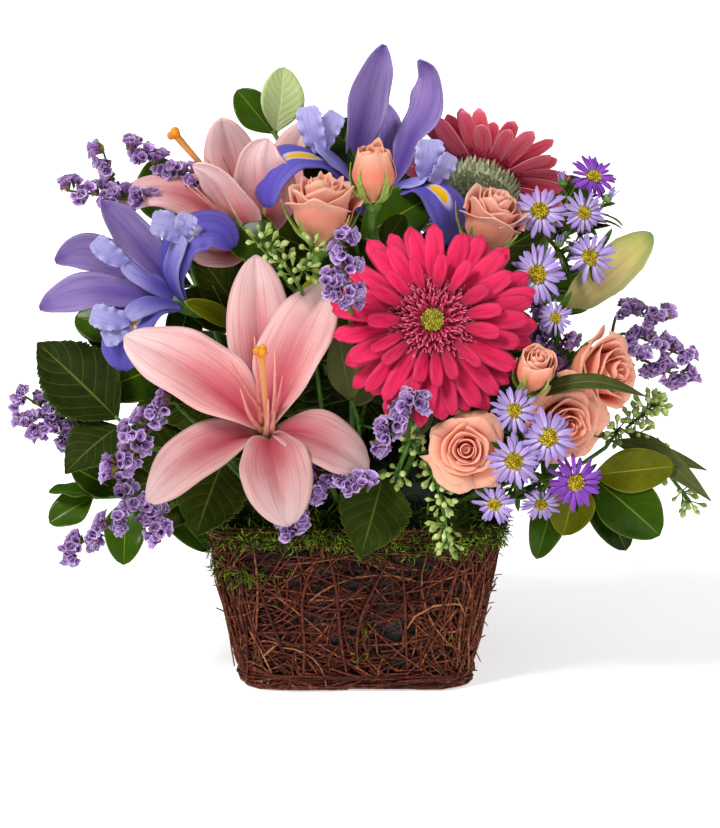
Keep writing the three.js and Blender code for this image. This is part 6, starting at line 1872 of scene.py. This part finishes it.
for number, (name, branch) in enumerate(EUCALYPTUS.items()):
    draw = np.random.default_rng(170 + number)
    trunk = [foam_end(branch["trunk"][0]), *branch["trunk"]]
    side_twigs = [[nearest_on([trunk], twig_path[0]), *twig_path[1:]] for twig_path in branch["twigs"]]
    bark = [rooted(branch["trunk"], 1.1), *[tube(path, 0.8, 6, 8) for path in side_twigs]]
    stalks, capsules = [], []
    umbels = list(branch["umbels"])
    if umbels:
        growing = [p for p in curve_through(branch["trunk"], 12)[3:] if p[2] > branch.get("bare_below", 0)]
        umbels += [(p, unit((draw.normal(), -1.2, draw.normal()))) for p in growing[::2]]
    for at, faces in umbels:
        more_stalks, more_capsules = umbel(nearest_on([trunk, *side_twigs], at), faces, draw)
        stalks += more_stalks
        capsules += more_capsules
    if capsules:
        beads = scattered(capsule, capsules, draw.random(len(capsules)))
        finished(name, "capsules", [beads], "seed_capsule")
        bark.append(scattered(stalk, stalks, draw.random(len(stalks))))
    finished(name, "", bark, "green_stem")
    long_leaves = []
    for k, (base, tip, face, width) in enumerate(branch["leaves"]):
        foot = nearest_on([trunk, *side_twigs], base)
        spec = {"peak": 0.36, "blunt": 1.05, "ripple": 0.6, "waves": 1.0, "phase": 2 * k, "bend": 22}
        # The middle branch's leaves sit in shade among the blooms and are painted lighter. The other leaves
        # step from darker to lighter.
        tint = 0.35 + 0.2 * k if branch["umbels"] else 0.9
        long_leaves.append(leaf_blade(foot, tip, face, width, spec, 20, 6, tint))
    if "over_roses" in branch:
        faces = [(0.1, -0.7, 0.7), (0.1, -0.8, 0.6)]
        long_leaves.append(ribbon(branch["over_roses"], faces, OVER_ROSES, 20, 6, 0.2))
    if long_leaves:
        finished(name, "leaves", long_leaves, "grey_leaf", 0.45)
print(list(EUCALYPTUS))

# %% [markdown]
# ## Foliage
#
# Two kinds of leaf fill the arrangement. Rose leaves are dull, deep green and saw-toothed. The rounder ones
# come from a glossy shrub, and no two have quite the same green. A leaf is a blade between its base and its
# tip, arched and folded along its midrib, with a soft wave in its edge. A short stalk joins it to its twig.

# %% Leaf places
ROSE_LEAVES = {
    "rose_leaves_left": ([(-102, -54, 128), (-121, -54, 143)], [
        ((-123, -51, 145), (-163, -64, 193), (-0.1, -0.85, 0.5), 40),
        ((-122, -51, 141), (-151, -76, 129), (-0.2, -0.75, 0.65), 30),
        ((-121, -48, 139), (-145, -58, 103), (-0.5, -0.8, -0.1), 26),
    ]),
    "rose_leaf_low_left": ([(-57, -66, 115), (-67, -76, 130)], [
        ((-67, -76, 130), (-82, -104, 101), (-0.1, -0.9, 0.35), 38),
    ]),
    "rose_leaf_low": ([(12, -68, 118), (15, -80, 124)], [
        ((15, -80, 124), (4, -104, 87), (0.05, -0.95, 0.25), 37),
    ]),
    "back_leaves_low": ([(0, 66, 118), (0, 88, 126)], [
        ((0, 88, 126), (4, 128, 100), (0, 0.7, 0.7), 38),
        ((-3, 80, 124), (-52, 112, 104), (-0.1, 0.7, 0.7), 36),
        ((3, 80, 124), (56, 112, 106), (0.1, 0.7, 0.7), 36),
    ]),
}
GLOSSY_LEAVES = {
    "round_leaves_low_left": ([(-95, -36, 100), (-136, -54, 104)], [
        ((-135, -58, 105), (-159, -68, 98), (-0.1, -0.8, 0.55), 19),
        ((-133, -58, 106), (-159, -60, 111), (0.2, -0.2, 1), 15),
        ((-118, -56, 103), (-140, -64, 123), (0.2, -0.9, 0.4), 19),
        ((-114, -58, 102), (-121, -76, 80), (0, -0.9, 0.4), 22),
        ((-100, -54, 100), (-80, -70, 88), (0.1, -0.9, 0.4), 17),
    ]),
    "round_leaves_left": ([(-82, -28, 161), (-108, -30, 178), (-124, -28, 188)], [
        ((-95, -34, 168), (-129, -58, 165), (0.1, -0.95, 0.3), 28),
        ((-93, -30, 177), (-82, -40, 206), (0.3, -0.9, 0.3), 20),
        ((-120, -28, 186), (-147, -28, 198), (0, -0.8, 0.6), 24),
        ((-113, -28, 182), (-141, -24, 182), (0, -0.7, 0.7), 22),
    ]),
    "round_leaves_top_left": ([(-30, 6, 252), (-44, 10, 289)], [
        ((-44, 12, 284), (-63, 13, 311), (0, -0.9, 0.3), 20),
        ((-43, 6, 286), (-33, 0, 321), (0.3, -0.9, 0.2), 24),
        ((-35, 8, 268), (-14, 14, 289), (0, -0.9, 0.4), 22),
    ]),
    "round_leaves_centre": ([(-18, -40, 185), (-39, -52, 224)], [
        ((-38, -52, 222), (-62, -66, 260), (-0.1, -0.85, 0.5), 26),
        ((-31, -48, 212), (-17, -86, 236), (-0.3, -0.8, 0.5), 19),
    ]),
    "round_leaves_top": ([(2, -20, 219), (-5, -26, 246)], [
        ((-5, -26, 243), (-19, -20, 294), (0, -0.95, 0.3), 30),
        ((-2, -24, 233), (38, -34, 260), (-0.1, -0.95, 0.2), 30),
        ((-3, -25, 238), (-29, -30, 262), (0, -0.95, 0.2), 24),
    ]),
    "round_leaves_low_right": ([(112, -66, 117), (122, -66, 118)], [
        ((121, -66, 121), (153, -97, 130), (0.0, -0.97, 0.25), 23),
        ((122, -64, 117), (157, -80, 90), (0, -0.9, 0.45), 32),
        ((120, -62, 114), (140, -72, 80), (0, -0.95, 0.3), 22),
        ((117, -64, 116), (109, -92, 98), (0.1, -0.9, 0.4), 25),
        ((108, -60, 111), (95, -84, 80), (0.1, -0.95, 0.3), 19),
    ]),
    "back_leaves_left": ([(-50, 40, 150), (-85, 62, 190), (-100, 70, 225)], [
        ((-100, 70, 225), (-118, 78, 268), (-0.4, 0.9, 0.2), 30),
        ((-88, 64, 195), (-140, 66, 222), (-0.2, 0.8, 0.6), 28),
        ((-85, 62, 190), (-76, 100, 238), (0.2, 0.9, 0.4), 32),
        ((-70, 52, 172), (-118, 92, 168), (-0.3, 0.7, 0.6), 32),
        ((-60, 46, 160), (-50, 104, 184), (0.1, 0.8, 0.6), 32),
    ]),
    "back_leaves_right": ([(55, 42, 150), (88, 62, 185), (104, 70, 218)], [
        ((104, 70, 218), (128, 78, 258), (0.3, 0.9, 0.2), 30),
        ((92, 64, 192), (146, 62, 206), (0.2, 0.8, 0.6), 28),
        ((88, 62, 185), (82, 102, 232), (-0.2, 0.9, 0.4), 32),
        ((72, 52, 168), (122, 92, 160), (0.3, 0.7, 0.6), 32),
        ((62, 46, 158), (50, 106, 180), (-0.1, 0.8, 0.6), 32),
    ]),
    "back_leaves_middle": ([(-8, 48, 150), (-14, 62, 200), (-12, 66, 240)], [
        ((-12, 66, 240), (-4, 74, 292), (0, 0.95, 0.2), 32),
        ((-13, 64, 222), (-58, 76, 262), (-0.2, 0.95, 0.2), 30),
        ((-13, 64, 214), (36, 80, 268), (0.2, 0.95, 0.2), 30),
        ((-13, 60, 190), (-58, 84, 196), (-0.2, 0.9, 0.4), 32),
    ]),
    "side_leaves_left": ([(-58, 12, 132), (-92, 20, 150)], [
        ((-92, 20, 150), (-136, 26, 176), (-0.5, -0.2, 0.8), 32),
        ((-80, 17, 145), (-118, 50, 142), (-0.5, 0.5, 0.7), 30),
        ((-74, 16, 142), (-108, -16, 138), (-0.6, -0.5, 0.6), 28),
    ]),
    "side_leaves_right": ([(58, 12, 132), (90, 22, 150)], [
        ((90, 22, 150), (138, 28, 178), (0.5, -0.2, 0.8), 32),
        ((80, 18, 145), (118, 52, 140), (0.5, 0.5, 0.7), 30),
        ((74, 16, 142), (108, -14, 134), (0.6, -0.5, 0.6), 28),
    ]),
}
OTHER_GREENS = {
    ("round_leaves_centre", 1): "olive_leaf", ("round_leaves_low_right", 0): "olive_leaf",
    ("round_leaves_low_right", 3): "olive_leaf", ("round_leaves_top", 2): "olive_leaf",
    ("round_leaves_top_left", 1): "pale_leaf",
}
every_spray = [*ROSE_LEAVES.values(), *GLOSSY_LEAVES.values()]
print(sum(len(leaves) for _, leaves in every_spray), "leaves on", len(every_spray), "sprays")

# %% Sprays of leaves
saw_teeth = lambda t: -0.1 * ((t * 24) % 1.0) * (t > 0.06) * (t < 0.97)
SAWN_LEAF = {"peak": 0.38, "blunt": 1.0, "cup": 0.22, "groove": 0.6, "teeth": saw_teeth, "bend": 34}
ROUND_LEAF = {"peak": 0.46, "blunt": 0.62, "cup": 0.2, "groove": 0.5, "bend": 32}


def soft_edge(draw, ripple, waves):
    """How the edge of one leaf waves, drawn between two limits each."""
    return {"ripple": draw.uniform(*ripple), "waves": draw.uniform(*waves), "phase": draw.uniform(0, 6)}


def leafy_spray(number, name, spine, leaves, finish):
    """The twig of one spray with its leaves, each kind of green as a piece of its own."""
    draw = np.random.default_rng(200 + number)
    path = [foam_end(spine[0]), *spine]
    twigs = [rooted(spine, 1.4)]
    by_finish = {}
    for k, (base, tip, face, width) in enumerate(leaves):
        foot = nearest_on([path], base)
        chord = np.asarray(tip, float) - foot
        start = foot + chord * 0.06
        twigs.append(tube([foot, foot + chord * 0.03 + (0, 0, 0.4), start + chord * 0.03], 0.95, 6, 4))
        soft = soft_edge(draw, (0.5, 1.2), (1.2, 2.2))
        if finish == "rose_leaf":
            spec, width, along, lightest = {**soft, **SAWN_LEAF}, width * 1.06, 72, 0.6
        else:
            spec, along, lightest = {**soft, **ROUND_LEAF}, 22, 0.85
        leaf = leaf_blade(start, tip, face, width, spec, along, 10, draw.uniform(0.1, lightest))
        by_finish.setdefault(OTHER_GREENS.get((name, k), finish), []).append(leaf)
    for leaf_kind, blades in by_finish.items():
        finished(name, "" if leaf_kind == finish else leaf_kind, blades, leaf_kind, 0.5)
    finished(name, "twig", twigs, "green_stem")


for number, (name, (spine, leaves)) in enumerate(ROSE_LEAVES.items()):
    leafy_spray(number, name, spine, leaves, "rose_leaf")
for number, (name, (spine, leaves)) in enumerate(GLOSSY_LEAVES.items()):
    leafy_spray(20 + number, name, spine, leaves, "waxy_leaf")
print(len(every_spray), "leafy sprays")

# %% [markdown]
# ## Leaves that fill the heart
#
# Between the blooms a florist packs short sprigs of dark leaves, so that no stem and no light shows through.
# Sprigs stand in the foam and fan out. Their leaves end on a rounded shell that stays inside the blooms, and
# each leaf faces outwards.

# %% Filling sprigs
HEART = {"centre": (0, 2, 150), "radii": (100, 66, 90), "floor": 104}
SPRIGS, LEAVES_ON_SPRIG, LONGEST_LEAF = 40, 6, 46.0
draw = np.random.default_rng(611)
heart = np.array(HEART["centre"], float)
radii = np.array(HEART["radii"], float)
filling, shiny, twigs = [], [], []
for k in range(SPRIGS):
    rise = 0.05 + 0.9 * (k + 0.5) / SPRIGS
    level = math.sqrt(1 - rise**2)
    out = np.array([math.cos(k * GOLDEN) * level, math.sin(k * GOLDEN) * level, rise])
    top = heart + out * radii * 0.72
    half = heart * (0.6, 0.6, 1) + out * radii * (0.25, 0.25, 0.1) - (0, 0, 22)
    twigs.append(rooted([half, top], 1.3))
    for m in range(LEAVES_ON_SPRIG):
        share = 0.45 + 0.55 * m / (LEAVES_ON_SPRIG - 1)
        base = half + (top - half) * share
        aim = unit(out + draw.normal(0, 0.42, 3) * (1, 1, 0.8))
        tip = heart + aim * radii * draw.uniform(0.9, 1.04)
        tip[2] = max(tip[2], HEART["floor"])
        tip = base + unit(tip - base) * min(np.linalg.norm(tip - base), LONGEST_LEAF)
        faces = unit(aim / radii + (0, -0.004, 0.002))
        size = draw.uniform(19, 27)
        soft = soft_edge(draw, (0.6, 1.6), (1.2, 2.4))
        if (k + m) % 3:
            spec = {**soft, **SAWN_LEAF, "peak": 0.42, "blunt": 0.8}
            filling.append(leaf_blade(base, tip, faces, size, spec, 16, 6, draw.uniform(0, 0.45)))
        else:
            spec = {**soft, **ROUND_LEAF}
            shiny.append(leaf_blade(base, tip, faces, size * 0.8, spec, 12, 6, draw.uniform(0, 0.4)))
print(SPRIGS, "filling sprigs")

# %% [markdown]
# A few larger leaves close the gaps that still show from the front. Each stands on a twig of its own.

# %% Larger leaves between the blooms
EXTRA_LEAVES = [
    ((-55, -24, 190), (-92, -34, 212), 26), ((-60, -26, 196), (-78, -40, 236), 24),
    ((-40, -20, 205), (-62, -34, 246), 24), ((-60, -30, 140), (-108, -46, 150), 30),
    ((-58, -30, 128), (-100, -50, 122), 28), ((-66, -28, 150), (-112, -34, 168), 28),
    ((62, -30, 190), (96, -50, 196), 28), ((62, -30, 170), (92, -62, 182), 26),
    ((40, -20, 210), (92, -34, 226), 30), ((20, -20, 220), (-12, -34, 252), 26),
    ((30, -20, 215), (60, -24, 248), 26), ((-20, -24, 205), (-30, -44, 236), 24),
    ((-85, -50, 128), (-128, -64, 137), 30), ((-84, -50, 120), (-124, -68, 110), 30),
    ((-78, -48, 112), (-106, -64, 90), 28), ((-18, -20, 202), (-56, -28, 232), 30),
    ((-12, -24, 200), (-24, -36, 224), 24), ((70, -30, 160), (112, -54, 186), 28),
    ((-70, -40, 150), (-110, -58, 158), 30), ((56, -20, 215), (98, -30, 250), 28),
    ((84, -36, 140), (120, -58, 140), 26), ((-8, -22, 222), (-52, -26, 246), 30),
    ((0, -24, 205), (-28, -34, 238), 26),
]
EXTRA_LEAF = {**SAWN_LEAF, "peak": 0.4, "blunt": 0.9, "cup": 0.2, "ripple": 1.0, "bend": 30}
for base, tip, width in EXTRA_LEAVES:
    base = np.array(base, float)
    chord = tip - base
    twigs.append(rooted([base - (base - heart) * (0.2, 0.2, 0.1), base + chord * 0.04], 1.2))
    faces = (0.1, -0.85, 0.45)
    filling.append(leaf_blade(base, tip, faces, width, EXTRA_LEAF, 26, 8, draw.uniform(0.1, 0.5)))
finished("filling", "rose_leaves", filling, "rose_leaf", 0.4)
finished("filling", "glossy_leaves", shiny, "waxy_leaf", 0.4)
finished("filling", "twigs", twigs, "green_stem")
print(len(filling) + len(shiny), "leaves fill the heart")

# %% [markdown]
# ## How far the dressing stands out
#
# The box round the dressed arrangement is set against the solid model's box, and how far each side stands
# past it is printed. The dressed arrangement may stand only a little proud of the solid model.

# %% Compare the boxes and finish
dressed_box = [list(corner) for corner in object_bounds()]
for axis, letter in enumerate("xyz"):
    low, high = (1000 * (dressed_box[k][axis] - cad_box[k][axis]) for k in (0, 1))
    print(letter, "low", round(low, 1), "mm, high", round(high, 1), "mm past the solid model")
